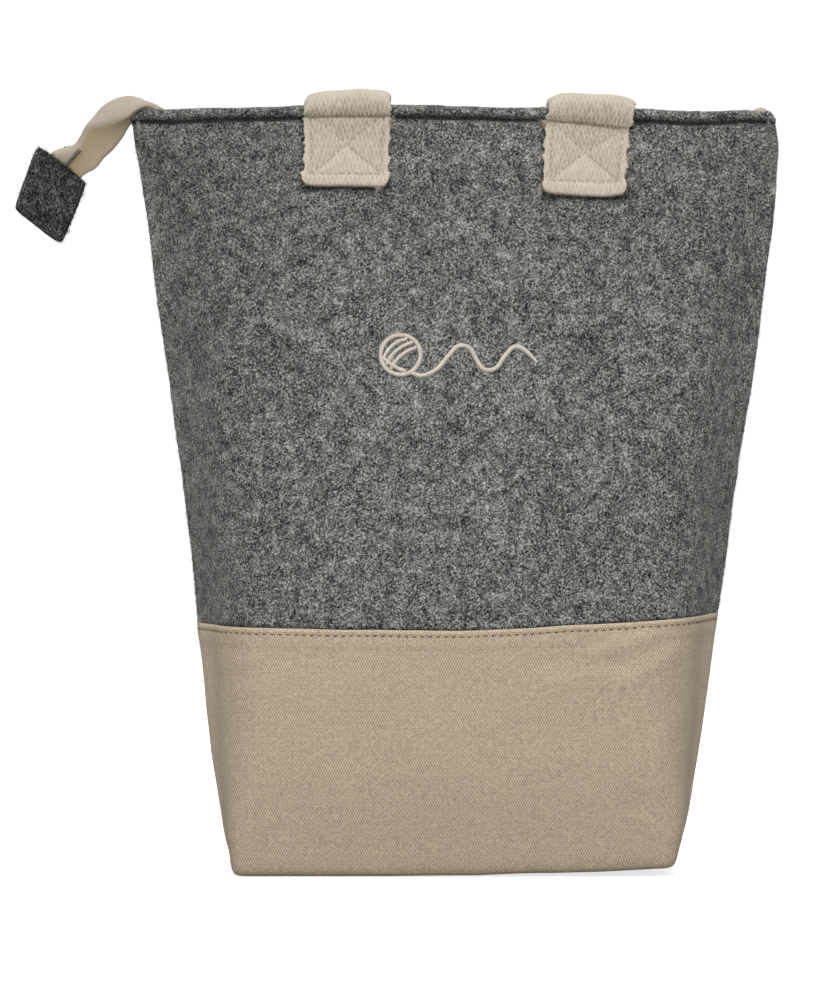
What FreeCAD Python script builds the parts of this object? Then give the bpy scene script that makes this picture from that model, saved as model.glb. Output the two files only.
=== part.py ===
import FreeCAD, Part
import math
import os

# Felt-and-canvas knitting tote, in millimetres.
# Frame: origin at the centre of the base on the ground, +X to the bag's right, -Y the front face,
# +Z up. Each felt panel and the canvas strip is one solid; webbing, zip and thread are separate.

os.makedirs("parts", exist_ok=True)
V = FreeCAD.Vector

# ---- driving dimensions ----
RIM_Z = 434.0            # top of the felt hem
BAND_Z = 140.0           # folded top edge of the canvas
FELT_LOW_Z = 126.0       # felt ends here, lapped under the canvas
FELT_T = 2.5             # wool felt
HEM_T = 5.2              # felt turned in once, two layers
HEM_IN_Z = 410.0         # lower edge of the turned-in layer
HEM_STITCH_Z = 426.0     # topstitch line of the hem
CANVAS_T = 1.05          # cotton canvas
CANVAS_FOLD_T = 1.9      # canvas folded double along its top edge
CANVAS_STITCH_Z = 136.0  # topstitch line of the canvas
CLEAR = 0.15             # air between cloth layers
SEAM_GAP = 0.25          # half the gap between front and back panels at the side seams

WEB_W = 50.0             # handle webbing width
WEB_T = 2.4              # handle webbing thickness
STRAP_X = (-61.0, 74.8)  # centre of each strap
PATCH_LOW_Z = 387.0      # lower end of each sewn strap
PATCH_TOP_Z = 426.0      # upper end of the sewn length
STRAP_RUN = 225.0        # strap from the box stitching to the start of its end turn

ZIP_Z = 429.0            # underside of the zip's flat part
ZIP_X = 146.0            # half the length of the straight zip
COIL_R = 1.05
TAPE_T = 0.6             # tape of the straight zip
END_TAPE_T = 1.0         # tape beyond either end of the straight zip

SIDES = (("front", -1), ("back", 1))  # name and sign of y

# Bag profile, each table as (z, value)
HALF_WIDTH = [   # at the side seams
    (0, 124.2), (14, 128.6), (40, 134.7), (69, 139.3), (97, 142.8), (125, 146.2), (181, 153.3),
    (237, 160.4), (294, 168.9), (350, 176.4), (378, 179.8), (406, 182.8), (426, 184.0),
    (434, 183.5)]
HALF_DEPTH = [   # at the centre
    (0, 55.0), (60, 57.0), (100, 55.5), (150, 52.0), (200, 47.5), (250, 42.0), (300, 35.5),
    (350, 28.0), (380, 22.5), (400, 18.0), (415, 14.2), (426, 11.6), (434, 11.0)]
FACET_WIDTH = [  # slanting side facet, measured along x
    (0, 1.0), (60, 13.0), (150, 23.0), (250, 30.0), (350, 36.0), (400, 36.0), (434, 35.0)]
CORNER_SETBACK = [  # from the ridge to each end of its rounding
    (0, 9.0), (40, 16.0), (100, 24.0), (200, 28.0), (350, 22.0), (434, 14.0)]


# ---- shared helpers ----
def interpolate(table, z):
    """Smooth monotone interpolation of a table of (z, value)."""
    heights = [row[0] for row in table]
    values = [row[1] for row in table]
    if z <= heights[0]:
        return values[0]
    if z >= heights[-1]:
        return values[-1]
    slopes = [(values[i + 1] - values[i]) / (heights[i + 1] - heights[i])
              for i in range(len(table) - 1)]
    tangents = [slopes[0]]
    for before, after in zip(slopes, slopes[1:]):
        tangents.append(0.0 if before * after <= 0 else 2 * before * after / (before + after))
    tangents.append(slopes[-1])
    i = max(k for k in range(len(table) - 1) if heights[k] <= z)
    step = heights[i + 1] - heights[i]
    t = (z - heights[i]) / step
    return ((1 + 2 * t) * (1 - t) ** 2 * values[i] + t * (1 - t) ** 2 * step * tangents[i]
            + t * t * (3 - 2 * t) * values[i + 1] + t * t * (t - 1) * step * tangents[i + 1])


def half_depth(z):
    return interpolate(HALF_DEPTH, z)


def positive(solid):
    """The solid, turned right side out if needed."""
    if solid.Volume < 0:
        solid.reverse()
    return solid


def prism(points, direction):
    face = Part.Face(Part.makePolygon(points + [points[0]]))
    return positive(face.extrude(direction))


def save(name, shapes):
    if not isinstance(shapes, (list, tuple)):
        shapes = [shapes]
    solids = [solid for shape in shapes for solid in shape.Solids]
    for solid in solids:
        assert solid.isValid() and solid.Volume > 0, name
    result = solids[0] if len(solids) == 1 else Part.makeCompound(solids)
    result.exportStep("parts/%s.step" % name)


def half_edges(z, offset, side):
    """Five edges of a half-section, left seam to right seam, moved outward by offset."""
    depth = half_depth(z)
    facet_slope = interpolate(FACET_WIDTH, z) / depth
    seam_x = interpolate(HALF_WIDTH, z) + offset * math.hypot(1, facet_slope)
    y = depth + offset
    ridge_x = seam_x - y * facet_slope
    seam_x -= SEAM_GAP * facet_slope

    facet = math.hypot(seam_x - ridge_x, y - SEAM_GAP)
    setback = min(interpolate(CORNER_SETBACK, z), 0.45 * math.hypot(seam_x - ridge_x, y))
    facet_x = ridge_x + (seam_x - ridge_x) / facet * setback
    facet_y = y - (y - SEAM_GAP) / facet * setback
    flat_x = ridge_x - setback

    def mirrored(x, y):
        """The left and right points at (-x, y) and (x, y)."""
        return V(-x, side * y, z), V(x, side * y, z)

    def corner(start, ridge, end):
        curve = Part.BezierCurve()
        curve.setPoles([start, ridge, end])
        return curve.toShape()

    seam_l, seam_r = mirrored(seam_x, SEAM_GAP)
    facet_l, facet_r = mirrored(facet_x, facet_y)
    ridge_l, ridge_r = mirrored(ridge_x, y)
    flat_l, flat_r = mirrored(flat_x, y)
    edges = [Part.makeLine(seam_l, facet_l), corner(facet_l, ridge_l, flat_l),
             Part.makeLine(flat_l, flat_r), corner(flat_r, ridge_r, facet_r),
             Part.makeLine(facet_r, seam_r)]
    return edges, seam_l, seam_r


def closed_wire(first, second):
    """Two half_edges results joined at both seam ends."""
    edges_1, left_1, right_1 = first
    edges_2, left_2, right_2 = second
    return Part.Wire(edges_1 + [Part.makeLine(right_1, right_2)] + list(reversed(edges_2))
                     + [Part.makeLine(left_2, left_1)])


def cloth_shell(levels, side):
    """Half of the bag's wall from levels of (z, outer offset, inner offset)."""
    wires = [closed_wire(half_edges(z, outer, side), half_edges(z, inner, side))
             for z, outer, inner in levels]
    return positive(Part.makeLoft(wires, True, True))


def band(path, x, side=1, thickness=WEB_T):
    """Webbing centred on x. path is one face in (y, z); the band lies to its left, seen
    with +y to the right and +z up, or to its right if side is -1."""
    offset_path = []
    for i, (y, z) in enumerate(path):
        before, after = path[max(i - 1, 0)], path[min(i + 1, len(path) - 1)]
        dy, dz = after[0] - before[0], after[1] - before[1]
        scale = side * thickness / math.hypot(dy, dz)
        offset_path.append((y - dz * scale, z + dy * scale))
    points = [V(x - WEB_W / 2, y, z) for y, z in path + offset_path[::-1]]
    return prism(points, V(WEB_W, 0, 0))


def band_pair(path):
    return [band(path, x) for x in STRAP_X]


def arc(centre, radius, start, end, steps):
    """Points in (y, z) from the start to the end angle, in degrees."""
    angles = [math.radians(start + (end - start) * i / steps) for i in range(steps + 1)]
    return [(centre[0] + radius * math.cos(a), centre[1] + radius * math.sin(a)) for a in angles]


def ribbon(stations, thickness):
    """Twisted ribbon through stations of (centre, half-width vector)."""
    wires = []
    for i, (centre, across) in enumerate(stations):
        before = stations[max(i - 1, 0)][0]
        after = stations[min(i + 1, len(stations) - 1)][0]
        along = (after - before).normalize()
        normal = along.cross(across).normalize() * (thickness / 2)
        points = [centre - across - normal, centre + across - normal,
                  centre + across + normal, centre - across + normal]
        wires.append(Part.makePolygon(points + [points[0]]))
    return positive(Part.makeLoft(wires, True, True))


def stitch_row(points, pitch, length, radius, margin):
    """One thread bar per stitch along a polyline, clear of both ends by at least margin."""
    travelled = [0.0]
    for start, end in zip(points, points[1:]):
        travelled.append(travelled[-1] + start.distanceToPoint(end))

    def point_at(distance):
        i = 1
        while travelled[i] < distance and i < len(travelled) - 1:
            i += 1
        t = (distance - travelled[i - 1]) / max(travelled[i] - travelled[i - 1], 1e-9)
        return points[i - 1] + (points[i] - points[i - 1]) * t

    count = int((travelled[-1] - 2 * margin) / pitch)
    first = (travelled[-1] - count * pitch) / 2
    bars = []
    for i in range(count):
        distance = first + i * pitch + (pitch - length) / 2
        start, end = point_at(distance), point_at(distance + length)
        bars.append(Part.makeCylinder(radius, start.distanceToPoint(end), start, end - start))
    return bars


# ---- felt body ----
def felt_panel(side):
    single_layer_z = (FELT_LOW_Z, 150, 180, 210, 240, 270, 300, 330, 355, 380, 400, HEM_IN_Z - 1.0)
    levels = [(z, 0.0, -FELT_T) for z in single_layer_z]
    # the hem, with a groove pulled in by its stitches and a chamfered rim
    levels += [(HEM_IN_Z + 0.5, 0.0, -HEM_T), (HEM_STITCH_Z - 2.2, 0.0, -HEM_T),
               (HEM_STITCH_Z, -0.9, -HEM_T), (HEM_STITCH_Z + 2.2, 0.1, -HEM_T),
               (RIM_Z - 2.4, 0.0, -HEM_T), (RIM_Z, -1.4, -HEM_T + 1.4)]
    return cloth_shell(levels, side)


for name, side in SIDES:
    save(name + "_felt_panel", felt_panel(side))


# ---- canvas foot: two walls and a base, the top edge folded double ----
def canvas_wall(side):
    fold_outer = CLEAR + CANVAS_FOLD_T
    levels = [(z, CLEAR + CANVAS_T, CLEAR) for z in (0.0, 14, 40, 69, 97, BAND_Z - 11.0)]
    levels += [(BAND_Z - 10.0, fold_outer, CLEAR), (BAND_Z - 0.8, fold_outer, CLEAR),
               (BAND_Z, fold_outer - 0.5, CLEAR + 0.3)]
    return cloth_shell(levels, side)


def canvas_base():
    offset = CLEAR + 0.5 * CANVAS_T
    wire = closed_wire(half_edges(0.0, offset, -1), half_edges(0.0, offset, 1))
    return Part.Face(wire).extrude(V(0, 0, CANVAS_T))


save("canvas_foot", canvas_wall(-1).fuse([canvas_wall(1), canvas_base()]).removeSplitter())


# ---- topstitching ----
def outline(z, offset, side):
    """Polyline along the outer face from the left seam to the right seam."""
    points = []
    for edge in half_edges(z, offset, side)[0]:
        edge_points = edge.discretize(24)
        points += edge_points[1:] if points else edge_points
    return points


for name, side in SIDES:
    save(name + "_hem_stitches", stitch_row(
        outline(HEM_STITCH_Z, -0.75, side), pitch=4.3, length=3.3, radius=0.45, margin=9.0))
    save(name + "_canvas_stitches", stitch_row(
        outline(CANVAS_STITCH_Z, CLEAR + CANVAS_FOLD_T, side),
        pitch=4.3, length=3.2, radius=0.34, margin=6.0))

# ---- handle ends, sewn to the felt ----
END_TOP_Z = {"front": 436.0, "back": 431.0}
PATCH_TOP_Y = half_depth(PATCH_TOP_Z) + CLEAR  # strap's inner face at the top of the patch
STRAP_TOP_Y = PATCH_TOP_Y + 0.3                # and where it leaves the felt
LIP_T = 1.2                                    # added by the end folded under


def handle_end(x, side, top_z):
    heights = [PATCH_LOW_Z + (PATCH_TOP_Z - PATCH_LOW_Z) * i / 5 for i in range(6)]
    inner = [(side * (half_depth(z) + CLEAR), z) for z in heights]
    inner += [(side * (PATCH_TOP_Y + 0.25), PATCH_TOP_Z + 3.0), (side * STRAP_TOP_Y, top_z)]
    lip = [(side * (half_depth(z) + CLEAR + WEB_T - 0.2), z)
           for z in (PATCH_LOW_Z, PATCH_LOW_Z + 2.5, PATCH_LOW_Z + 5.0)]
    strap = band(inner, x, -side)
    return strap.fuse(band(lip, x, -side, LIP_T)).removeSplitter()


def box_stitches(x, side):
    """A square and its diagonals, on the outer face of the webbing."""
    w = WEB_W / 2 - 4.0
    low, high = PATCH_LOW_Z + 6.5, PATCH_TOP_Z - 1.0
    lines = (((-w, low), (w, low)), ((-w, high), (w, high)), ((-w, low), (-w, high)),
             ((w, low), (w, high)), ((-w, low), (w, high)), ((-w, high), (w, low)))
    steps = 14
    bars = []
    for (x0, z0), (x1, z1) in lines:
        points = []
        for i in range(steps + 1):
            z = z0 + (z1 - z0) * i / steps
            points.append(V(x + x0 + (x1 - x0) * i / steps,
                            side * (half_depth(z) + CLEAR + WEB_T), z))
        bars += stitch_row(points, pitch=3.8, length=2.9, radius=0.4, margin=1.6)
    return bars


for name, side in SIDES:
    for label, x in zip(("left", "right"), STRAP_X):
        save(name + "_handle_end_" + label, handle_end(x, side, END_TOP_Z[name]))
    save(name + "_handle_box_stitches",
         box_stitches(STRAP_X[0], side) + box_stitches(STRAP_X[1], side))

# ---- hanging loops ----
LOOP_SLOPE = 0.141  # how far a hanging strap leans out, per mm of drop
LOOP_TIP = 20.0     # tip of the webbing at the bottom of the loop, degrees
LOOP_GAP = 0.4      # from the centre height of the last bend down to the loop
LOOP_X = sum(STRAP_X) / 2
LOOP_R = (STRAP_X[1] - STRAP_X[0]) / 2
LEG_STEPS = 12
TURN_STEPS = 24


def smooth(t):
    t = min(max(t, 0.0), 1.0)
    return t * t * (3 - 2 * t)


def hanging_loop(bend_centre, bend_radius, run, extra_lean):
    """U of webbing hanging from a bend behind the bag, leaning out by LOOP_SLOPE. Towards the
    bottom its inner edge tips away from the bag and its centre moves out by extra_lean."""
    lean = math.atan(LOOP_SLOPE)
    down = V(0, math.sin(lean), -math.cos(lean))
    outward = V(0, math.cos(lean), math.sin(lean))
    origin = V(LOOP_X, bend_centre[0] + bend_radius, bend_centre[1] - LOOP_GAP)
    origin += outward * (WEB_T / 2)

    # (x, drop, x part of the across direction, its downward part)
    outline_rows = [(-LOOP_R, run * i / LEG_STEPS, -1.0, 0.0) for i in range(LEG_STEPS)]
    for i in range(TURN_STEPS + 1):
        angle = math.pi * (1 - i / TURN_STEPS)
        cos, sin = math.cos(angle), math.sin(angle)
        outline_rows.append((LOOP_R * cos, run + LOOP_R * sin, cos, sin))
    outline_rows += [(LOOP_R, run * i / LEG_STEPS, 1.0, 0.0) for i in reversed(range(LEG_STEPS))]

    stations = []
    for x, drop, across_x, across_down in outline_rows:
        blend = smooth((drop - 0.3 * run) / (0.7 * run + LOOP_R))
        tip = math.radians(LOOP_TIP) * blend
        across = V(1, 0, 0) * across_x + down * across_down
        shift = WEB_W / 2 * math.sin(tip) + extra_lean * blend
        centre = origin + V(x, 0, 0) + down * drop + outward * shift
        half_width = (across * math.cos(tip) - outward * math.sin(tip)) * (WEB_W / 2)
        stations.append((centre, half_width))
    return ribbon(stations, WEB_T)


# ---- front handle: a bridge over the rim, then the hanging loop ----
FRONT_BEND_R = 3.2                                    # inner radius
FRONT_BEND = (-STRAP_TOP_Y + FRONT_BEND_R, 437.0)     # centre (y, z)
REAR_BEND_R = 3.4
REAR_BEND = (20.6, 438.0)

bridge = arc(FRONT_BEND, FRONT_BEND_R, 135, 92, 5)
bridge += [(FRONT_BEND[0] + 2, 440.25), (4.0, 440.7), (REAR_BEND[0] - 2, 441.3)]
bridge += arc(REAR_BEND, REAR_BEND_R, 88, 45, 5)
front_bend = [(-STRAP_TOP_Y, END_TOP_Z["front"] + 0.25)]
front_bend += arc(FRONT_BEND, FRONT_BEND_R, 180, 139, 4)
save("front_handle_bridge", band_pair(bridge))
save("front_handle_front_bend", band_pair(front_bend))
save("front_handle_rear_bend", band_pair(arc(REAR_BEND, REAR_BEND_R, 41, 0, 4)))
save("front_handle_loop",
     hanging_loop(REAR_BEND, REAR_BEND_R, run=STRAP_RUN - 54.7, extra_lean=16.5))

# ---- back handle: a short fold outside the rim, then the hanging loop ----
FOLD_R = 3.0
FOLD = (STRAP_TOP_Y + WEB_T + FOLD_R, 431.6)          # centre (y, z)
save("back_handle_fold", band_pair(arc(FOLD, FOLD_R, 176, 4, 14)))
save("back_handle_loop", hanging_loop(FOLD, FOLD_R, run=STRAP_RUN - 18.8, extra_lean=0.0))

# ---- zip tape halves, coils and top stops ----
TAPE_LOW_Z = 414.0                                # lower edge of the tape inside the hem
TAPE_Y = half_depth(430.0) - HEM_T - 0.2          # face of the tape towards the hem
TAPE_EDGE_Y = 1.2                                 # edge of the tape beside the coil
TAPE_TOP_Z = ZIP_Z + TAPE_T


def zip_tape(side):
    """L-shaped tape, trimmed clear of the hem."""
    section = [(TAPE_Y, TAPE_LOW_Z), (TAPE_Y, TAPE_TOP_Z), (TAPE_EDGE_Y, TAPE_TOP_Z),
               (TAPE_EDGE_Y, ZIP_Z), (TAPE_Y - TAPE_T, ZIP_Z), (TAPE_Y - TAPE_T, TAPE_LOW_Z)]
    tape = prism([V(-ZIP_X, side * y, z) for y, z in section], V(2 * ZIP_X, 0, 0))
    hem_inner = -HEM_T - CLEAR
    hem = cloth_shell([(TAPE_LOW_Z - 2.0, 0.0, hem_inner), (RIM_Z, 0.0, hem_inner)], side)
    return tape.cut(hem)


def zip_coil(side):
    start = V(-ZIP_X + 2, side * 1.15, ZIP_Z - COIL_R - 0.05)
    return Part.makeCylinder(COIL_R, 2 * ZIP_X - 4, start, V(1, 0, 0))


for name, side in SIDES:
    save(name + "_zip_tape", zip_tape(side))
    save(name + "_zip_coil", zip_coil(side))

save("zip_top_stops", [Part.makeBox(2.8, 1.5, 1.4, V(ZIP_X - 3.0, y, TAPE_TOP_Z + 0.05))
                       for y in (0.2, -1.7)])

# ---- slider and pull ----
SLIDER_X = 138.0                  # slider's parked place at the right-hand end
SLIDER_L = 9.0
UPPER_HALF_W = 4.6
LOWER_HALF_W = 3.4
LOWER_T = 0.9
SLIDER_Z = TAPE_TOP_Z + CLEAR     # underside of the upper plate
LUG_L, LUG_T, LUG_H = 5.0, 0.9, 2.3
LUG_Y = 0.85                      # inner face of each lug
PIN_Z = SLIDER_Z + 2.15
PULL_L = 24.0                     # from the pin to the free end
PULL_T = 1.0
NECK_W = 1.5
BLADE_W = 5.0


def round_upright_edges(box, radius):
    return box.makeFillet(
        radius, [e for e in box.Edges if abs(e.Vertexes[0].Z - e.Vertexes[-1].Z) > 0.5])


def slider_top():
    """Upper plate with two lugs and the pin between them."""
    plate = Part.makeBox(SLIDER_L, 2 * UPPER_HALF_W, 1.0,
                         V(SLIDER_X - SLIDER_L / 2, -UPPER_HALF_W, SLIDER_Z))
    lugs = [Part.makeBox(LUG_L, LUG_T, LUG_H, V(SLIDER_X - LUG_L / 2, y, SLIDER_Z + 0.9))
            for y in (-LUG_Y - LUG_T, LUG_Y)]
    pin = Part.makeCylinder(0.55, 2.2, V(SLIDER_X, -1.1, PIN_Z), V(0, 1, 0))
    return round_upright_edges(plate, 1.6).fuse(lugs + [pin])


def slider_bottom():
    top_z = ZIP_Z - 2 * COIL_R - 0.35
    plate = Part.makeBox(SLIDER_L, 2 * LOWER_HALF_W, LOWER_T,
                         V(SLIDER_X - SLIDER_L / 2, -LOWER_HALF_W, top_z - LOWER_T))
    return round_upright_edges(plate, 1.2)


def zip_pull():
    """Eye around the pin, neck and blade, lying flat towards the left."""
    low_z = PIN_Z - 0.1
    bore = Part.makeCylinder(0.62, 3, V(SLIDER_X, -1.5, PIN_Z), V(0, 1, 0))
    eye = Part.makeCylinder(1.15, NECK_W, V(SLIDER_X, -NECK_W / 2, PIN_Z), V(0, 1, 0)).cut(bore)
    neck = Part.makeBox(4.6, NECK_W, PULL_T, V(SLIDER_X - 5.4, -NECK_W / 2, low_z))
    blade = Part.makeBox(PULL_L - 5.0, BLADE_W, PULL_T,
                         V(SLIDER_X - PULL_L, -BLADE_W / 2, low_z))
    hole = Part.makeCylinder(1.1, 4, V(SLIDER_X - PULL_L + 4.0, 0, PIN_Z - 2), V(0, 0, 1))
    return eye.fuse([neck, round_upright_edges(blade, 1.8)]).cut(hole)


save("zip_slider_top", slider_top())
save("zip_slider_bottom", slider_bottom())
save("zip_pull", zip_pull())

# ---- tape beyond the straight zip, as (centre, half-width vector) stations ----
TAPE_END_X = ZIP_X + 0.8
TAIL_X = -180.0                      # where the free tail leaves the rim
TAB_ACROSS = V(26.9, 8.0, -20.5)     # along the tab's upper edge
TAB_DOWN = V(-12.5, -8.0, -35.2)     # down the tab's side
TAB_TOP = V(-224.5, -3.0, 401.2)     # middle of the tab's upper edge
TAB_GAP = 0.75                       # from the tab's middle plane to each leaf
tab_unit = V(TAB_ACROSS).normalize()
tab_half = tab_unit * 11.9           # half-width of the tape in the tab
tab_entry = TAB_TOP + TAB_DOWN * 0.02
last_bend = V(-219.0, -2.6, 408.2)   # last station before the tab

# right-hand end, tucked into the corner of the rim
save("zip_tape_end", ribbon([
    (V(TAPE_END_X, 0, 431.0), V(0, 3.6, 0)), (V(154.0, 0, 434.2), V(0, 3.4, 0)),
    (V(162.0, 0, 435.5), V(0, 3.2, 0)), (V(174.0, 0, 435.3), V(0, 3.0, 0))], END_TAPE_T))

# left-hand end, rising to the point where the tail leaves the rim
save("zip_tail_root", ribbon([
    (V(-TAPE_END_X, 0, 431.0), V(0, 4.0, 0)), (V(-156.0, 0, 435.4), V(0, 5.6, 0)),
    (V(TAIL_X + 1.5, 0, 437.0), V(0, 7.8, 0))], END_TAPE_T))

# free tail, arching down over the corner and turning to face forward at the tab
save("zip_tail_tape", ribbon([
    (V(TAIL_X - 1.5, 0, 437.6), V(0.8, 8.2, -0.8)), (V(-190.5, -1.0, 434.6), V(5.0, 8.8, -4.6)),
    (V(-200.5, -1.5, 426.9), V(8.4, 6.8, -6.2)), (V(-210.5, -2.0, 417.4), V(9.4, 5.0, -6.8)),
    (last_bend, V(9.5, 3.6, -7.1)), (tab_entry, tab_half),
    (TAB_TOP + TAB_DOWN * 0.30, tab_half)], END_TAPE_T))


def front_normal(first, second):
    """Unit normal to two directions, pointing to the front."""
    normal = first.cross(second).normalize()
    return normal * -1 if normal.y > 0 else normal


stop_centre = last_bend + front_normal(tab_entry - last_bend, tab_half) * 1.5
save("zip_bottom_stop", Part.makeCylinder(0.55, 4.4, stop_centre - tab_unit * 2.2, tab_half))

# ---- felt tab: two leaves around the end of the tail, joined along the bottom ----
tab_normal = front_normal(TAB_ACROSS, TAB_DOWN)


def on_tab(across, down, lift):
    """Point on the tab: fractions across and down, and mm forward of the middle plane."""
    return TAB_TOP + TAB_ACROSS * across + TAB_DOWN * down + tab_normal * lift


def tab_leaf(back, front, top=0.0):
    corners = ((-0.5, top), (0.5, top), (0.5, 1), (-0.5, 1))
    return prism([on_tab(u, v, back) for u, v in corners], tab_normal * (front - back))


tab_face = TAB_GAP + FELT_T
save("zip_tail_felt_tab", tab_leaf(TAB_GAP, tab_face).fuse(
    [tab_leaf(-tab_face, -TAB_GAP), tab_leaf(-0.8, 0.8, top=0.42)]).removeSplitter())

stitch_corners = [on_tab(u, v, tab_face) for u, v in (
    (-0.42, 0.9), (-0.42, 0.1), (0.42, 0.1), (0.42, 0.9), (-0.42, 0.9))]
tab_stitches = []
for start, end in zip(stitch_corners, stitch_corners[1:]):
    tab_stitches += stitch_row([start, end], pitch=3.8, length=2.9, radius=0.35, margin=1.0)
save("zip_tail_tab_stitches", tab_stitches)

# ---- embroidered motif: a ball of yarn with its loose end ----
BALL_X, BALL_Z = -24.0, 293.0


def on_front(x, z, lift):
    return V(x, -(half_depth(z) + lift), z)


front_slope = (half_depth(BALL_Z - 10) - half_depth(BALL_Z + 10)) / 20.0
motif = [Part.makeCylinder(9.0, 0.9, on_front(BALL_X, BALL_Z, -0.25), V(0, -1, -front_slope))]
yarn = []
for i in range(22):
    wave = 3.0 * math.sin(i * 0.62) * (1 if i > 1 else 0.3)
    yarn.append(on_front(BALL_X + 8.0 + 2.6 * i, BALL_Z - 7.2 + wave, 0.1))
for start, end in zip(yarn, yarn[1:]):
    length = start.distanceToPoint(end) - 0.25
    motif.append(Part.makeCylinder(0.75, length, start, end - start))
save("embroidered_motif", motif)
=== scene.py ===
"""Felt tote bag with a canvas foot, two webbing handles and a zip along its mouth.

The bag stands on z = 0. Its front faces -y and its left seam lies at -x, where the zip's
tail hangs out. Shapes are worked out in millimetres and stored in metres.
"""
import bmesh
import bpy
import math
import numpy as np
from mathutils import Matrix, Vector
from types import SimpleNamespace


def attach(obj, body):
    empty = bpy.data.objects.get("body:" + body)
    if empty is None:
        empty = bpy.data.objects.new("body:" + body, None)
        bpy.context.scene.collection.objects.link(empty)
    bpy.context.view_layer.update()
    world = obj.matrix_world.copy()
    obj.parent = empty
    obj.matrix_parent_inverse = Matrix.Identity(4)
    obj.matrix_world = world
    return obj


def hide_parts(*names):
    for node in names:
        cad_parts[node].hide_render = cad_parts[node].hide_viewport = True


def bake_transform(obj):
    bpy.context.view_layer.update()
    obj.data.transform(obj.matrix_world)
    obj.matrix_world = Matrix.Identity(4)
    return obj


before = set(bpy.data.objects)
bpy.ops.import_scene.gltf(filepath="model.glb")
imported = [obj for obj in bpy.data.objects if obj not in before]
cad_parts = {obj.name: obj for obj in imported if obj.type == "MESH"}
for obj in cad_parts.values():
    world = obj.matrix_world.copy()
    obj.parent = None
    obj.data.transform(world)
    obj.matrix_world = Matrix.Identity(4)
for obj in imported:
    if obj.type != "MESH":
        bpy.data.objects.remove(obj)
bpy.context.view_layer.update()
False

MM = 0.001
SIDES = ((-1, "front"), (1, "back"))


# =============================================================================
# Curves and noise
# =============================================================================
def lerp(start, end, t):
    return start + (end - start) * t


def ease(t):
    """Smooth step from 0 at t = 0 to 1 at t = 1."""
    t = np.clip(t, 0.0, 1.0)
    return t * t * (3 - 2 * t)


def unit(vectors):
    return vectors / (np.linalg.norm(vectors, axis=-1, keepdims=True) + 1e-12)


def table(points):
    """Function of an array that runs smoothly through (x, value) pairs without overshoot."""
    xs, ys = np.array(points, float).T
    gaps = np.diff(xs)
    rates = np.diff(ys) / gaps
    slopes = np.zeros(len(xs))
    slopes[0], slopes[-1] = rates[0], rates[-1]
    for i in range(1, len(rates)):
        before, after = rates[i - 1], rates[i]
        if before * after > 0:
            slopes[i] = 2 * before * after / (before + after)

    def value(x):
        x = np.clip(np.asarray(x, float), xs[0], xs[-1])
        i = np.clip(np.searchsorted(xs, x, side="right") - 1, 0, len(gaps) - 1)
        t = (x - xs[i]) / gaps[i]
        return ((1 + 2 * t) * (1 - t) ** 2 * ys[i] + t * (1 - t) ** 2 * gaps[i] * slopes[i]
                + t * t * (3 - 2 * t) * ys[i + 1] + t * t * (t - 1) * gaps[i] * slopes[i + 1])
    return value


def lattice_hash(ix, iy, seed):
    """Repeatable random number in 0..1 for each lattice point."""
    bits = (ix.astype(np.int64) * 374761393 + iy.astype(np.int64) * 668265263
            + seed * 974711) & 0xFFFFFFFF
    bits = ((bits ^ (bits >> 13)) * 1274126177) & 0xFFFFFFFF
    bits = bits ^ (bits >> 16)
    return (bits & 0xFFFFFF) / float(0xFFFFFF)


def value_noise(x, y, seed=0):
    """Smooth noise in -1..1 on a unit lattice."""
    x, y = np.broadcast_arrays(np.asarray(x, float), np.asarray(y, float))
    ix, iy = np.floor(x), np.floor(y)
    fx, fy = x - ix, y - iy
    fx, fy = fx * fx * (3 - 2 * fx), fy * fy * (3 - 2 * fy)
    total = 0.0
    for i in (0, 1):
        for j in (0, 1):
            weight = (fx if i else 1 - fx) * (fy if j else 1 - fy)
            total = total + weight * lattice_hash(ix + i, iy + j, seed)
    return total * 2 - 1


def fbm(x, y, seed, octaves=2):
    """Value noise summed over octaves, each half as strong and twice as fine."""
    x, y = np.asarray(x, float), np.asarray(y, float)
    total, weights = 0.0, 0.0
    for k in range(octaves):
        total = total + 0.5 ** k * value_noise(x * 2 ** k, y * 2 ** k, seed + 17 * k)
        weights += 0.5 ** k
    return total / weights


def quad_bezier(start, control, end, count):
    t = np.linspace(0, 1, count)[:, None]
    start, control, end = np.array(start), np.array(control), np.array(end)
    return (1 - t) ** 2 * start + 2 * t * (1 - t) * control + t * t * end


def lengths_along(points):
    """Distance travelled at each point of a polyline."""
    steps = np.linalg.norm(np.diff(points, axis=0), axis=1)
    return np.concatenate([[0], np.cumsum(steps)])


def at_lengths(query, lengths, values):
    """Rows of values, interpolated at the queried lengths."""
    return np.stack([np.interp(query, lengths, column) for column in values.T], 1)


def resample(points, step):
    """Catmull-Rom curve through the points, evenly spaced, and the length at each point."""
    points = np.asarray(points, float)
    ctrl = np.concatenate([2 * points[:1] - points[1:2], points,
                           2 * points[-1:] - points[-2:-1]])
    t = np.linspace(0, 1, 24, endpoint=False)[:, None]
    curve = []
    for p0, p1, p2, p3 in zip(ctrl, ctrl[1:], ctrl[2:], ctrl[3:]):
        curve.append(0.5 * (2 * p1 + (-p0 + p2) * t + (2 * p0 - 5 * p1 + 4 * p2 - p3) * t ** 2
                            + (-p0 + 3 * p1 - 3 * p2 + p3) * t ** 3))
    curve = np.concatenate(curve + [points[-1:]])
    lengths = lengths_along(curve)
    count = max(int(round(lengths[-1] / step)), 2)
    even = np.linspace(0, lengths[-1], count + 1)
    return at_lengths(even, lengths, curve), even


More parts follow.
